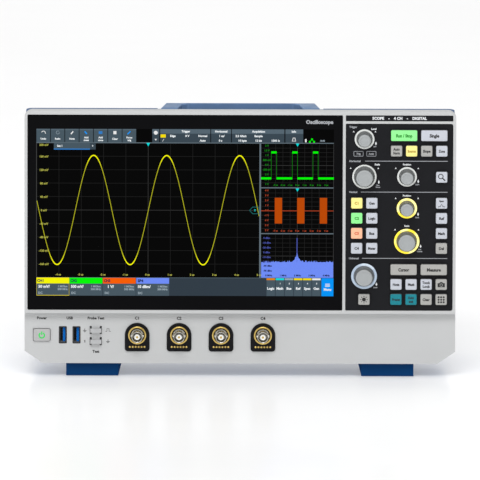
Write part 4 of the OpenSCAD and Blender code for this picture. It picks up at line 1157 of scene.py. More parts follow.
def make_trace_finish(display):
    """The trace: bright where the beam lingers at the peaks, dimmer on the slopes."""
    made = Finish("trace", (0, 0, 0), 0.1, Specular_IOR_Level=0.03)
    peak = TRACE_RISE * MM
    away = calculation(made.nodes, "SUBTRACT", (SCREEN_TOP - TRACE_V) * MM)
    distance = calculation(made.nodes, "ABSOLUTE")
    made.links.new(made.axis("Z"), away.inputs[0])
    made.links.new(away.outputs["Value"], distance.inputs[0])
    factor = made.spread(distance.outputs["Value"], 0.72 * peak, peak, 0.0, 1.0)
    full = linear(display.trace_colour)
    lit = made.blend(factor, shade(linear((0.8, 0.8, 0.15)), 0.8), full)
    made.links.new(lit, made.shader.inputs["Emission Color"])
    made.shader.inputs["Emission Strength"].default_value = display.glow
    return made


# ---------------------------------------------------------------- key panel

# Knob notes: label and its place from the knob's middle, half span and rise of the end marks,
# place of the push arrow, words under it, diameter of the light ring and its finish.
KNOB_NOTES = {
    "trigger_level": ("Level", 8.0, 8.9, 9.4, 6.6, 9.8, -3.6, "50%", 17.1, "ring_clear"),
    "horizontal_scale": ("Scale", 11.0, 10.7, 11.9, 7.4, 12.4, -4.5, "Fine\nZoom", 20.9, "ring_clear"),
    "horizontal_position": ("Position", 0.0, 10.7, 9.7, 7.4, 9.7, -3.8, "Zero", 17.0, "ring_clear"),
    "vertical_position": ("Position", 0.0, 11.1, 9.7, 8.8, 9.7, -5.0, "Zero", 17.5, "ring_yellow"),
    "vertical_scale": ("Scale", 0.0, 13.5, 10.1, 10.2, 12.0, -4.2, "Fine\nCoarse", 21.8, "ring_yellow"),
    "multi_purpose": ("", 0.0, 0.0, 0.0, 0.0, 10.7, -6.9, "Enter", 22.3, "ring_white"),
}

# Sections of the panel: label, drop of its line below the bezel's top, start of the line.
SECTIONS = (("Trigger", 13.6, None), ("Horizontal", 43.4, 107.6), ("Vertical", 70.5, 103.9),
            ("Universal", 128.5, 105.2))


class SCOPE_OT_key_panel(bpy.types.Operator):
    """Makes the dark key panel with its printed labels, lines and marks"""

    bl_idname = "scope.key_panel"
    bl_label = "Key panel"

    def execute(self, context):
        softened("key_panel", "key_panel_plate", "panel_plastic", 0.22)
        prints = Build()
        near = PANEL_DEPTH - INK
        for label, drop, start in SECTIONS:
            z = TOP - drop
            prints.text(label, 93.9, z, 1.55, near, "grey_ink", 11.8, "LEFT")
            if start:
                prints.slab(start, 178.7, z - 0.27, z + 0.27, near, near + INK, "grey_ink")
        for name, note in KNOB_NOTES.items():
            self.knob_prints(prints, middle(name + "_knob"), note, near)
        # Two small status windows under the trigger knob.
        z = TOP - 37.0
        for x, word in ((101.8, "Trig"), (112.9, "Auto")):
            prints.stroke(rounded(x, z, 8.0, 4.2, 0.5, 3), 0.4, near, near + INK, "grey_ink", True)
            prints.text(word, x, z, 1.5, near, "grey_ink", 5.6)
        install(prints.object("panel_print"), "root", "key_panel")
        return {"FINISHED"}

    def knob_prints(self, prints, centre, note, near):
        """A knob's label between its end marks, and its push arrow with the words under it."""
        label, dx, dz, span, rise, push_x, push_z, words = note[:8]
        x, z = centre.x, centre.z
        if label:
            prints.text(label, x + dx, z + dz, 1.5, near, "white_ink", 9.2)
            for s in (-1, 1):
                at_x, at_z = x + s * span, z + rise
                tip = [(at_x - 0.75, at_z - 0.6), (at_x + 0.75, at_z - 0.6), (at_x, at_z + 0.75)]
                prints.prism(tip, near, near + INK, "white_ink")
        x, z = x + push_x, z + push_z
        arrow = [(x - 0.9, z - 0.7), (x + 0.9, z - 0.7), (x, z + 1.5)]
        prints.prism(arrow, near, near + INK, "white_ink")
        prints.slab(x - 0.35, x + 0.35, z - 1.6, z - 0.65, near, near + INK, "white_ink")
        lines = words.count("\n")
        prints.text(words, x - 0.8, z - 3.0 - 0.8 * lines, 1.1, near, "grey_ink", 5)


# Keys: legend or icon, width of the legend, finish of the face, ink.
KEYS = {
    "key_run_stop": ("Run / Stop", 14.0, "key_green", "green_ink"),
    "key_single": ("Single", 8.4, "key_light", "dark_ink"),
    "key_auto_norm": ("Auto\nNorm", 5.6, "key_grey", "dark_ink"),
    "key_source": ("Source", 7.0, "key_yellow", "amber_ink"),
    "key_slope": ("Slope", 6.6, "key_grey", "dark_ink"),
    "key_zone": ("Zone", 5.4, "key_light", "dark_ink"),
    "key_zoom": ("icon:zoom", 0, "key_light", "dark_ink"),
    "key_channel_1": ("C1", 4.2, "key_yellow", "amber_ink"),
    "key_channel_2": ("C2", 4.2, "key_green", "green_ink"),
    "key_channel_3": ("C3", 4.2, "key_orange", "red_ink"),
    "key_channel_4": ("C4", 4.2, "key_light", "dark_ink"),
    "key_generator": ("Gen", 4.8, "key_light", "dark_ink"),
    "key_logic": ("Logic", 6.0, "key_light", "dark_ink"),
    "key_bus": ("Bus", 4.6, "key_light", "dark_ink"),
    "key_meter": ("Meter", 6.6, "key_light", "dark_ink"),
    "key_spectrum": ("icon:spectrum", 0, "key_light", "dark_ink"),
    "key_reference": ("Ref", 4.4, "key_light", "dark_ink"),
    "key_math": ("Math", 6.0, "key_light", "dark_ink"),
    "key_delete": ("Del", 4.6, "key_grey", "dark_ink"),
    "key_cursor": ("Cursor", 9.4, "key_grey", "dark_ink"),
    "key_measure": ("Measure", 12.0, "key_grey", "dark_ink"),
    "key_annotate": ("Note", 5.6, "key_light", "dark_ink"),
    "key_mask": ("Mask", 6.0, "key_light", "dark_ink"),
    "key_touch_lock": ("Touch\nLock", 6.4, "key_light", "dark_ink"),
    "key_camera": ("icon:camera", 0, "key_grey", "dark_ink"),
    "key_preset": ("Preset", 7.0, "key_teal", "teal_ink"),
    "key_autoset": ("Auto\nset", 5.4, "key_teal", "teal_ink"),
    "key_clear": ("Clear", 6.2, "key_grey", "dark_ink"),
    "key_apps": ("icon:apps", 0, "key_grey", "dark_ink"),
    "key_brightness": ("icon:brightness", 0, "key_grey", "dark_ink"),
}


def key_cap(node, face, rounding, rim=0.65, skirt="key_skirt"):
    """A key with its flange, slightly tapered skirt, round front edge and stem."""
    low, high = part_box(node)
    x, z = (low.x + high.x) / (2 * MM), (low.z + high.z) / (2 * MM)
    w, h = (high.x - low.x) / MM - 2 * rim, (high.z - low.z) / MM - 2 * rim
    front, end = low.y / MM - FRONT, high.y / MM - FRONT
    flange = PANEL_HIGH.y / MM - FRONT + 0.2 if skirt == "key_skirt" else STRIP_DEPTH + 3.2
    corner = 1.3
    cap = Build()
    rings = [(-rim, flange + 1.0), (-rim, flange), (0.0, flange), (0.1, front + rounding * 1.6)]
    for i in range(5):
        a = math.radians(22.5 * i)
        rings.append((0.1 + rounding * (1 - math.cos(a)), front + rounding * (1 - math.sin(a))))
    loops = [(rounded(x, z, w - 2 * inset, h - 2 * inset, max(corner - inset, 0.5)), depth)
             for inset, depth in rings]
    cap.loft(loops, skirt, face, 5)
    cap.slab(x - 1.5, x + 1.5, z - 1.5, z + 1.5, flange + 0.5, end, skirt)
    return cap, x, z, front


def draw_key_icon(legend, kind, x, z, near, ink):
    """The icons of the keys that carry no word."""
    far = near + INK
    if kind == "zoom":
        legend.stroke(circle(x - 0.8, z + 0.8, 2.0, 20), 0.7, near, far, ink, True)
        legend.stroke([(x + 0.6, z - 0.6), (x + 3.0, z - 2.9)], 1.0, near, far, ink)
    elif kind == "spectrum":
        legend.text("Spec", x, z + 2.1, 1.5, near, ink, 6.4)
        legend.stroke([(x - 3.0, z - 3.0), (x - 1.1, z - 2.7), (x, z - 0.4), (x + 1.1, z - 2.7),
                       (x + 3.0, z - 3.0)], 0.5, near, far, ink)
    elif kind == "camera":
        body = ((-3.1, 1.3), (-1.5, 1.3), (-0.9, 2.3), (0.9, 2.3), (1.5, 1.3), (3.1, 1.3))
        legend.band([(x + dx, z + dz) for dx, dz in body], [(x + dx, z - 2.2) for dx, _ in body],
                    near, far, ink)
        legend.stroke(circle(x, z - 0.35, 1.15, 16), 0.35, near - INK, near, "key_grey", True)
    elif kind == "brightness":
        legend.prism(circle(x, z, 1.7, 20), near, far, ink)
        for i in range(8):
            a = math.radians(45 * i)
            legend.stroke([(x + r * math.cos(a), z + r * math.sin(a)) for r in (2.3, 3.2)], 0.75,
                          near, far, ink)
    elif kind == "apps":
        dots = grown(stud_tree, {"Columns": 3, "Rows": 3, "Pitch": 2.2 * MM,
                                 "Stud Radius": 0.88 * MM, "Flatness": 0.12, "Material": finish(ink)})
        legend.add(dots, facing_front(x, near + INK, z), ink)
    else:
        raise ValueError(f"there is no icon named {kind}")


class SCOPE_OT_keys(bpy.types.Operator):
    """Makes the thirty keys and their legends"""

    bl_idname = "scope.keys"
    bl_label = "Keys"

    def execute(self, context):
        controls = context.scene.scope_controls
        for node, (legend, width, face, ink) in KEYS.items():
            short = node.removeprefix("key_")
            cap, x, z, front = key_cap(node, face, controls.key_round)
            install(cap.object("cap_" + short), node, face, node)
            mark = Build()
            near = front - INK
            if legend.startswith("icon:"):
                draw_key_icon(mark, legend.removeprefix("icon:"), x, z, near, ink)
            else:
                height = controls.legend_h * (1.25 if width > 8 else 1.0)
                mark.text(legend, x, z, height, near, ink, width)
            install(mark.object("legend_" + short), node, face)
        refinish("key_board", "key_board_finish")
        return {"FINISHED"}


class SCOPE_OT_knobs(bpy.types.Operator):
    """Makes the six knobs with their ribs, shafts and light rings"""

    bl_idname = "scope.knobs"
    bl_label = "Knobs"

    def execute(self, context):
        controls = context.scene.scope_controls
        for name, note in KNOB_NOTES.items():
            self.knob(name, controls)
            self.light_ring(name, note[8], note[9])
            refinish(name + "_shaft", "shaft_steel")
        return {"FINISHED"}

    def knob(self, name, controls):
        """A knob with its ribs: a cup turned about its shaft, slightly wider at its foot."""
        node = name + "_knob"
        low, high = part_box(node)
        x, z = (low.x + high.x) / (2 * MM), (low.z + high.z) / (2 * MM)
        base = (high.x - low.x) / (2 * MM) - controls.rib_h
        r = base * controls.knob_taper
        tip, foot = low.y / MM - FRONT, high.y / MM - FRONT
        shaft_low, shaft_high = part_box(name + "_shaft")
        shaft = (shaft_high.x - shaft_low.x) / (2 * MM) + 0.05
        knob = Build()
        profile = [(0, tip + 0.5), (r * 0.35, tip + 0.46), (r * 0.62, tip + 0.36), (r - 2.1, tip + 0.22),
                   (r - 1.75, tip + 0.08), (r - 1.5, tip), (r - 1.1, tip), (r - 0.62, tip + 0.14),
                   (r - 0.3, tip + 0.45), (r - 0.1, tip + 0.95), (r, tip + 1.6),
                   (base - 0.1, foot - 1.2), (base + controls.rib_h, foot - 0.9),
                   (base + controls.rib_h, foot), (shaft, foot),
                   (shaft, tip + 2.6), (0, tip + 2.6)]
        # The sides and ribs take a darker copy of the knob colour, painted shade; the front takes the
        # knob's face colour.
        knob.turned(profile, x, z, "knob_plastic_shaded", 64, face_name="knob_face", face_to=9)
        length = foot - tip - 3.3
        count = round(controls.ribs * base / 9)
        middle_r = (r + base) / 2
        ribs = grown(rib_tree, {
            "Count": count, "Radius": middle_r * MM, "Width": math.pi * r / count * MM,
            "Height": 2 * controls.rib_h * MM, "Length": length * MM,
            "Tilt": -math.atan((base - r) / (foot - tip - 2.8)),
            "Material": finish("knob_plastic_shaded")})
        knob.add(ribs, facing_front(x, tip + 2.1 + length / 2, z), "knob_plastic_shaded")
        install(knob.object(name + "_grip"), node, "knob", node)

    def light_ring(self, name, diameter, ring_finish):
        """The ring on the panel around a knob."""
        low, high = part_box(name + "_knob")
        centre = middle(name + "_knob")
        outer = diameter / 2
        inner = (high.x - low.x) / (2 * MM) + 0.12
        front, back = PANEL_DEPTH - 1.1, PANEL_DEPTH
        profile = [(inner, front + 0.35), (inner + 0.3, front + 0.05), (inner + 0.55, front),
                   (outer - 0.5, front), (outer - 0.2, front + 0.1), (outer, front + 0.45),
                   (outer, back), (inner, back)]
        ring = Build()
        ring.turned(profile, centre.x, centre.z, ring_finish, 64, closed=True)
        install(ring.object(name + "_light"), "root", "knob")


# ---------------------------------------------------------------- connector strip

# Middles of the USB sockets and of the pair of test loops across the strip, the reach from there to
# each loop's legs, and the heights of the legs' slots over the middle of the strip.
USB_X = (-152.9, -141.1)
LOOPS_X, LOOP_REACH = -124.45, 4.35
SLOT_HIGH, SLOT_LOW = 4.3, -5.5


class SCOPE_OT_connector_strip(bpy.types.Operator):
    """Makes the power key, the sockets' tongues, the test loops and the strip's print"""

    bl_idname = "scope.connector_strip"
    bl_label = "Connector strip"

    def execute(self, context):
        cap, x, z, front = key_cap("power_key", "power_plastic", 0.6, 0.8, "power_plastic")
        install(cap.object("power_cap"), "power_key", "power_key", "power_key")
        icon = Build()
        near = front - INK
        icon.stroke(circle(x, z - 0.2, 2.3, 26, 120, 420), 1.05, near, front, "power_green")
        icon.slab(x - 0.5, x + 0.5, z + 0.2, z + 3.2, near, front, "power_green")
        install(icon.object("power_icon"), "power_key", "power_key")
        self.ports(context)
        self.prints(x, z)
        return {"FINISHED"}

    def ports(self, context):
        """The plated shells and sockets keep their CAD shape; what is inside them is made here."""
        refinish("port_connectors", "tin")
        z = middle("power_key").z
        inside = Build()
        for x in USB_X:
            # The rear wall, the tongue, the dark rim, four contacts and the lining of the long sides.
            inside.prism(rounded(x, z, 4.8, 12.7, 0.3, 2), 17.4, 18.2, "socket_black")
            inside.prism(rounded(x + 1.1, z, 2.1, 12.0, 0.25, 2), 8.4, 17.6, "socket_blue")
            inside.wall(rounded(x, z, 6.9, 14.9, 0.5, 4), rounded(x, z, 5.0, 12.9, 0.5, 4),
                        STRIP_DEPTH - 0.12, STRIP_DEPTH - 0.02, "socket_black")
            for i in range(4):
                foot = z - 4.2 + 2.6 * i
                inside.slab(x - 0.02, x + 0.12, foot, foot + 0.8, 9.4, 15.0, "gold")
            for wall_x in (x - 2.45, x + 2.45):
                inside.slab(wall_x - 0.06, wall_x + 0.06, z - 6.0, z + 6.0, 7.2, 17.0, "socket_black")
        # Dark slabs in the slots of the test loops, beside the loops' legs: painted shade in the open
        # slots.
        for slot_z in (z + SLOT_HIGH, z + SLOT_LOW):
            for reach in (-LOOP_REACH, LOOP_REACH):
                for shift in (-0.65, 0.65):
                    x = LOOPS_X + reach + shift
                    inside.slab(x - 0.2, x + 0.2, slot_z - 3.4, slot_z + 3.4, STRIP_DEPTH + 0.1,
                                STRIP_DEPTH + 2.5, "socket_black")
        install(inside.object("usb_tongues"), "root", "port_connectors")

    def prints(self, power_x, strip_z):
        """Words and symbols printed on the strip."""
        near, far = STRIP_DEPTH - INK, STRIP_DEPTH
        ink = "print_ink"
        row, foot_row, test_x = TOP - 182.4, TOP - 211.7, -124.4
        prints = Build()
        for word, x, z, width in (("Power", power_x, row, 8.6), ("USB", sum(USB_X) / 2, row, 6.4),
                                  ("Probe Test", test_x, row, 17.2), ("Test", test_x, foot_row, 7.8)):
            prints.text(word, x, z, 2.2, near, ink, width)
        for i in range(4):
            x = plate_middle(i)
            prints.text(f"C{i + 1}", x, row, 2.4, near, ink, 4.2)
        high_z, low_z = strip_z + SLOT_HIGH, strip_z + SLOT_LOW
        left, right = -134.0, -114.9
        wave = [(right - 1.2, high_z - 1.2), (right + 0.1, high_z - 1.2), (right + 0.1, high_z + 1.3),
                (right + 1.9, high_z + 1.3), (right + 1.9, high_z - 1.2), (right + 3.4, high_z - 1.2)]
        prints.stroke(wave, 0.42, near, far, ink)
        for x, z in ((left, high_z - 0.3), (right + 1.0, low_z)):
            for k, half in enumerate((1.6, 1.05, 0.5)):
                prints.slab(x - half, x + half, z - 0.6 * k - 0.45, z - 0.6 * k - 0.1, near, far, ink)
            prints.slab(x - 0.2, x + 0.2, z - 0.2, z + 1.5, near, far, ink)
        prints.text("2", left, low_z, 1.8, near, ink, 2)
        install(prints.object("strip_print"), "root", "front_bezel")


def plate_middle(i):
    """The middle of one of the four channel plates, in X and in millimetres."""
    first = PLATE_LOW.x / MM + PLATE_W / 2
    last = PLATE_HIGH.x / MM - PLATE_W / 2
    return first + (last - first) * i / 3


class SCOPE_OT_inputs(bpy.types.Operator):
    """Makes the four coaxial inputs with their plates, gold rings and probe contacts"""

    bl_idname = "scope.inputs"
    bl_label = "Inputs"

    def execute(self, context):
        inputs = context.scene.scope_inputs
        softened("channel_plates", "input_plates", "plate_black", 0.3)
        z = (JACK_LOW.z + JACK_HIGH.z) / (2 * MM)
        jacks, rings, contacts = Build(), Build(), Build()
        for i in range(4):
            x = plate_middle(i)
            self.jack(jacks, x, z)
            out, inside = inputs.ring_out, inputs.ring_in
            face = PLATE_DEPTH - 1.5
            rings.turned([(inside, face + 0.8), (inside + 0.25, face + 0.25), (inside + 0.6, face),
                          (out - 0.5, face), (out - 0.15, face + 0.2), (out, face + 0.55),
                          (out, PLATE_DEPTH + 0.1), (inside, PLATE_DEPTH + 0.1)], x, z, "gold", 56,
                         closed=True)
            studs = grown(stud_tree, {
                "Columns": inputs.contacts, "Rows": 1, "Pitch": inputs.contact_pitch * MM,
                "Stud Radius": inputs.contact_r * MM, "Flatness": 0.7, "Material": finish("gold")})
            contacts.add(studs, facing_front(x, PLATE_DEPTH, TOP - 207.4), "gold")
        install(jacks.object("input_jacks"), "root", "bnc_jacks", "bnc_jacks")
        install(rings.object("input_rings"), "root", "bnc_jacks")
        install(contacts.object("probe_contacts"), "root", "bnc_jacks")
        return {"FINISHED"}

    def jack(self, jacks, x, z):
        """One jack: plated barrel and lugs, white insulator, gold contact."""
        tip = JACK_TIP
        end = JACK_HIGH.y / MM - FRONT
        jacks.turned([(4.05, tip + 0.5), (4.3, tip + 0.1), (4.5, tip), (4.65, tip + 0.1),
                      (4.8, tip + 0.4), (4.8, tip + 4.0), (4.6, tip + 4.2), (4.5, tip + 4.3),
                      (4.5, STRIP_DEPTH), (6.0, STRIP_DEPTH), (6.0, end), (3.0, end),
                      (3.0, STRIP_DEPTH), (4.05, STRIP_DEPTH - 0.4)], x, z, "nickel", 48, closed=True)
        for side in (-1, 1):
            lug = Build()
            lug.turned([(0, -5.6), (0.75, -5.55), (1.0, -5.3), (1.0, -4.2), (0, -4.2)], 0, 0, "nickel",
                       20)
            mesh = lug.bare("lug", Matrix.Translation(Vector((0, -FRONT, 0)) * MM))
            turn = Matrix.Rotation(side * math.pi / 2, 4, "Z")
            place = Matrix.Translation(Vector((x, FRONT + tip + 5.8, z)) * MM)
            jacks.add(mesh, place @ turn, "nickel")
        jacks.turned([(1.0, tip + 1.6), (1.05, tip + 0.75), (1.3, tip + 0.55), (2.1, tip + 0.5),
                      (2.4, tip + 0.8), (2.4, STRIP_DEPTH - 0.2), (1.0, STRIP_DEPTH - 0.2)], x, z,
                     "insulator", 40, closed=True)
        jacks.turned([(0, tip + 2.4), (0.42, tip + 2.4), (0.42, tip + 0.8), (0.62, tip + 0.7),
                      (0.85, tip + 0.8), (0.98, tip + 1.1), (0.98, STRIP_DEPTH - 0.4),
                      (0, STRIP_DEPTH - 0.4)], x, z, "gold", 24)
        jacks.turned([(2.4, 2.6), (3.6, 2.4), (4.0, 2.9), (4.0, STRIP_DEPTH - 0.5),
                      (2.4, STRIP_DEPTH - 0.5)], x, z, "nickel", 40, closed=True)


# ---------------------------------------------------------------- case


def screw_head(diameter):
    """A low round head with a six-lobed socket, its top looking along +Z, as a mesh."""
    head = Build()
    lobes = [(a, 1 + 0.16 * math.cos(6 * a)) for a in (math.radians(10 * i) for i in range(36))]
    rings = []
    for share, depth, lobed in ((1, 0.3, False), (1, -0.6, False), (0.86, -1.0, False),
                                (0.6, -1.2, False), (0.42, -1.22, True), (0.36, -0.3, True)):
        reach = [(a, diameter / 2 * share * (lobe if lobed else 1)) for a, lobe in lobes]
        rings.append(([(r * math.cos(a), r * math.sin(a)) for a, r in reach], depth))
    head.loft(rings, "screw_black")
    up = Matrix.Rotation(-math.pi / 2, 4, "X") @ Matrix.Translation((0, -FRONT * MM, 0))
    mesh = head.bare("screw_head", up)
    smooth_mesh(mesh, 40)
    return mesh


def screws(name, points, turn, diameter):
    """Screw heads at points in millimetres, turned to look out of their face."""
    source = placed("screw_source", screw_head(diameter))
    local = [turn.inverted() @ (Vector(p) * MM) for p in points]
    mesh = grown(fastener_tree, {"Fastener": source, "Size": 1.0, "Material": finish("screw_black")},
                 local)
    bpy.data.objects.remove(source)
    mesh.transform(turn)
    smooth_mesh(mesh, 40)
    return install(placed(name, mesh), "root", "rear_housing")


class SCOPE_OT_rear_housing(bpy.types.Operator):
    """Makes the blue rear housing with its bumper pads, screws and printed words"""

    bl_idname = "scope.rear_housing"
    bl_label = "Rear housing"

    def execute(self, context):
        case = context.scene.scope_case
        softened("rear_housing", "housing_moulding", "case_plastic", case.case_edge)
        looks_back = Matrix.Rotation(-math.pi / 2, 4, "X")
        corners = [(sx * 148, FRONT + REAR_FACE, z) for sx in (-1, 1) for z in (66, 160)]
        screws("rear_screws", corners, looks_back, case.screw_d)
        looks_down = Matrix.Rotation(math.pi, 4, "X")
        under = [(sx * x, FRONT + d, HOUSING_LOW.z / MM + 13.0) for sx in (-1, 1)
                 for x, d in ((70, 40), (70, 100))]
        screws("base_screws", under, looks_down, case.screw_d)
        self.prints()
        pads = Build()
        for side in (-1, 1):
            lay_pads(pads, side, REAR_PADS, REAR_PAD_DEPTHS, case.pad_t)
        install(pads.object("rear_foot_pads"), "root", "rear_housing")
        return {"FINISHED"}

    def prints(self):
        """Words over the rear sockets, written for someone who looks at the rear."""
        words = Build(behind=True)
        near = -2 * FRONT - REAR_FACE - INK
        for word, x, z in (("LAN", NETWORK_X, 49.4), ("VIDEO", VIDEO_X, 42.6),
                           ("USB", sum(REAR_USB_X) / 2, 42.6), ("AC LINE", MAINS_X, 60.6)):
            words.text(word, -x, z, 2.2, near, "white_ink")
        install(words.object("rear_print"), "root", "rear_housing")


# Rubber pads: from where to where they reach on each side of the middle, and over which depths.
FRONT_PADS, FRONT_PAD_DEPTHS = ((108.5, 120.0), (135.5, 147.0)), (14, 22)
REAR_PADS, REAR_PAD_DEPTHS = ((109, 146),), (101, 115)


def lay_pads(pads, side, spans, depths, thick):
    """Adds pads with round corners that stand on the bench on one side of the middle."""
    # A pad is drawn in X and depth, then laid down on the bench.
    lay = Matrix(((1, 0, 0, 0), (0, 0, 1, FRONT * MM), (0, -1, 0, FRONT * MM), (0, 0, 0, 1)))
    for span in spans:
        x0, x1 = sorted(side * x for x in span)
        d0, d1 = depths
        outline = rounded((x0 + x1) / 2, (d0 + d1) / 2, x1 - x0, d1 - d0, 2.0)
        pad = Build()
        pad.loft([(outline, 0.0), (outline, -thick)], "rubber")
        pads.add(pad.bare("pad", lay), Matrix(), "rubber")


def lift_sole(thick):
    """Raises a foot's underside a little, to leave room for its pad."""
    def change(work):
        """Moves the corners that stand on the bench."""
        for vertex in work.verts:
            if vertex.co.z < 0.05 * MM:
                vertex.co.z = (thick - 0.12) * MM
    return change


class SCOPE_OT_feet(bpy.types.Operator):
    """Makes the two folding front feet with their rubber pads"""

    bl_idname = "scope.feet"
    bl_label = "Front feet"

    def execute(self, context):
        case = context.scene.scope_case
        for side, node in ((-1, "tilt_foot_left"), (1, "tilt_foot_right")):
            # The feet take a darker copy of the case blue, painted shade.
            softened(node, node + "_moulding", "foot_plastic_shaded", case.foot_edge, node, "tilt_foot",
                     change=lift_sole(case.pad_t))
            pads = Build()
            lay_pads(pads, side, FRONT_PADS, FRONT_PAD_DEPTHS, case.pad_t)
            install(pads.object(node + "_pads"), node, "tilt_foot")
        return {"FINISHED"}


class SCOPE_OT_handle(bpy.types.Operator):
    """Makes the folding carry handle"""

    bl_idname = "scope.handle"
    bl_label = "Carry handle"

    def execute(self, context):
        case = context.scene.scope_case
        # The handle takes a lighter copy of the case blue, painted light.
        softened("carry_handle", "handle_moulding", "grip_plastic_lit", case.handle_edge, "carry_handle",
                 segments=3)
        return {"FINISHED"}


class SCOPE_OT_rear_sockets(bpy.types.Operator):
    """Makes the contacts and tongues inside the rear sockets"""

    bl_idname = "scope.rear_sockets"
    bl_label = "Rear sockets"

    def execute(self, context):
        inside = Build()
        floor = REAR_FACE - 16.0
        # Network socket: a black insert with eight gold springs.
        inside.slab(NETWORK_X - 5.6, NETWORK_X + 5.6, 33.9, 41.5, floor - 0.1, floor + 0.5,
                    "socket_black")
        first_spring, spring_pitch = NETWORK_X - 4.45, 1.27
        for i in range(8):
            x = first_spring + spring_pitch * i
            inside.slab(x - 0.2, x + 0.2, 36.0, 36.4, floor + 0.4, floor + 9.0, "gold")
        for x in (*REAR_USB_X, VIDEO_X):
            inside.slab(x - 5.2, x + 5.2, 33.4, 35.0, floor - 0.1, REAR_FACE - 1.8, "socket_black")
        # Mains inlet: a black liner round its three blades.
        inside.wall(rounded(MAINS_X, 46, 23.8, 16.8, 1.4), rounded(MAINS_X, 46, 22.6, 15.6, 1.0),
                    floor + 1.2, REAR_FACE + 0.2, "socket_black")
        install(inside.object("rear_socket_insides"), "root", "port_connectors")
        return {"FINISHED"}


class SCOPE_OT_fan(bpy.types.Operator):
    """Makes the fan's frame and rotor"""

    bl_idname = "scope.fan"
    bl_label = "Fan"

    def execute(self, context):
        softened("fan_frame", "fan_shroud", "fan_plastic", 0.35)
        softened("fan_rotor", "fan_blades", "fan_plastic", 0.25, "fan_rotor")
        return {"FINISHED"}


class SCOPE_OT_insides(bpy.types.Operator):
    """Gives the chassis and the boards inside their finishes"""

    bl_idname = "scope.insides"
    bl_label = "Insides"

    def execute(self, context):
        refinish("chassis", "sheet_metal")
        refinish("main_board", "main_board_finish")
        refinish("power_supply", "supply_board_finish")
        return {"FINISHED"}


# ---------------------------------------------------------------- stage


def soft_light(name, size_m, power, place, target):
    """A square soft light that looks at a point."""
    light = bpy.data.lights.new(name, "AREA")
    light.shape = "SQUARE"
    light.size = size_m
    light.energy = power
    lamp = placed(name, light)
    lamp.location = place
    lamp.rotation_euler = (Vector(target) - Vector(place)).to_track_quat("-Z", "Y").to_euler()


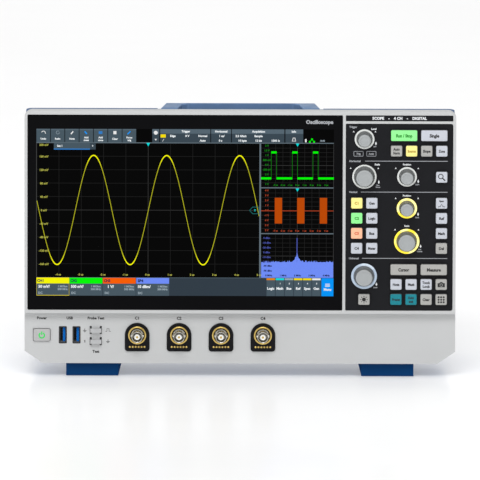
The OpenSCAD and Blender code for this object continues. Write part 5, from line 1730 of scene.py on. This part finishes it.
class SCOPE_OT_stage(bpy.types.Operator):
    """Sets up the pale floor, the soft light and the camera"""

    bl_idname = "scope.stage"
    bl_label = "Stage"

    def execute(self, context):
        scene = context.scene
        stage = scene.scope_stage
        self.floor(stage)
        self.world(scene, stage)
        middle_point = (0, 0, 0.1)
        soft_light("top_light", 0.8, stage.top_light, (-0.1, -1.35, 1.6), middle_point)
        soft_light("side_light", 1.2, stage.side_light, (-1.3, -1.4, 0.9), middle_point)
        self.camera(scene, stage)
        scene.view_settings.view_transform = "Standard"
        return {"FINISHED"}

    def floor(self, stage):
        """A wide pale floor at bench height."""
        half = 14.0
        mesh = bpy.data.meshes.new("floor")
        corners = [(-half, -half, 0), (half, -half, 0), (half, half, 0), (-half, half, 0)]
        mesh.from_pydata(corners, [], [(0, 1, 2, 3)])
        made = Finish("floor_finish", (0.95, 0.95, 0.95), 0.24, Specular_IOR_Level=0.3)
        made.mottle(1.5, 0.006).polish(3, 0.2, 0.27).glow((1, 1, 1), stage.floor_glow, 2, 0.99)
        mesh.materials.append(made.material)
        placed("floor", mesh)

    def world(self, scene, stage):
        """Even white surroundings, brighter towards the rear."""
        world = bpy.data.worlds.new("surroundings")
        world.use_nodes = True
        nodes, links = world.node_tree.nodes, world.node_tree.links
        sky = nodes["Background"]
        sky.inputs["Color"].default_value = (1, 1, 1, 1)
        # Brighter towards the rear, where a studio's backdrop stands.
        split = nodes.new("ShaderNodeSeparateXYZ")
        ramp = nodes.new("ShaderNodeMapRange")
        ramp.interpolation_type = "SMOOTHSTEP"
        links.new(nodes.new("ShaderNodeTexCoord").outputs["Generated"], split.inputs["Vector"])
        links.new(split.outputs["Y"], ramp.inputs["Value"])
        for socket, value in (("From Min", 0.5), ("From Max", 0.95), ("To Min", stage.sky),
                              ("To Max", stage.backdrop)):
            ramp.inputs[socket].default_value = value
        links.new(ramp.outputs["Result"], sky.inputs["Strength"])
        scene.world = world

    def camera(self, scene, stage):
        """A long lens that looks at the middle of the bezel."""
        lens = bpy.data.cameras.new("camera")
        lens.sensor_width = 36.0
        lens.lens = lens.sensor_width * stage.distance / stage.frame_w
        lens.clip_end = 100.0
        camera = placed("camera", lens)
        target = Vector((-0.0001, BEZEL_LOW.y, 0.1214))
        back = Vector((0, -math.cos(stage.elevation), math.sin(stage.elevation)))
        camera.location = target + back * stage.distance
        look = (-back).to_track_quat("-Z", "Y").to_matrix().to_4x4()
        camera.rotation_euler = (look @ Matrix.Rotation(stage.roll, 4, "Z")).to_euler()
        scene.camera = camera


# ---------------------------------------------------------------- add-on

SETTINGS = (("scope_case", CaseSettings), ("scope_display", DisplaySettings),
            ("scope_controls", ControlSettings), ("scope_inputs", InputSettings),
            ("scope_stage", StageSettings))

PIECES = (SCOPE_OT_front_bezel, SCOPE_OT_display_glass, SCOPE_OT_display_image, SCOPE_OT_key_panel,
          SCOPE_OT_keys, SCOPE_OT_knobs, SCOPE_OT_connector_strip, SCOPE_OT_inputs,
          SCOPE_OT_rear_housing, SCOPE_OT_handle, SCOPE_OT_feet, SCOPE_OT_rear_sockets,
          SCOPE_OT_fan, SCOPE_OT_insides, SCOPE_OT_stage)


class SCOPE_PT_panel(bpy.types.Panel):
    """Lists the oscilloscope's pieces and their settings"""

    bl_idname = "SCOPE_PT_panel"
    bl_label = "Oscilloscope"
    bl_space_type = "VIEW_3D"
    bl_region_type = "UI"
    bl_category = "Oscilloscope"

    def draw(self, context):
        for attribute, group in SETTINGS:
            box = self.layout.box()
            for name in group.__annotations__:
                box.prop(getattr(context.scene, attribute), name)
        for operator in PIECES:
            self.layout.operator(operator.bl_idname)


def register():
    """Registers the settings, the operators and the panel."""
    for attribute, group in SETTINGS:
        bpy.utils.register_class(group)
        setattr(bpy.types.Scene, attribute, PointerProperty(type=group))
    for operator in PIECES:
        bpy.utils.register_class(operator)
    bpy.utils.register_class(SCOPE_PT_panel)


def unregister():
    """Undoes what register does, in the opposite order."""
    bpy.utils.unregister_class(SCOPE_PT_panel)
    for operator in reversed(PIECES):
        bpy.utils.unregister_class(operator)
    for attribute, group in reversed(SETTINGS):
        delattr(bpy.types.Scene, attribute)
        bpy.utils.unregister_class(group)


def main():
    """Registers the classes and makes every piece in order."""
    register()
    for operator in PIECES:
        group, name = operator.bl_idname.split(".")
        getattr(getattr(bpy.ops, group), name)()


if __name__ == "__main__":
    main()
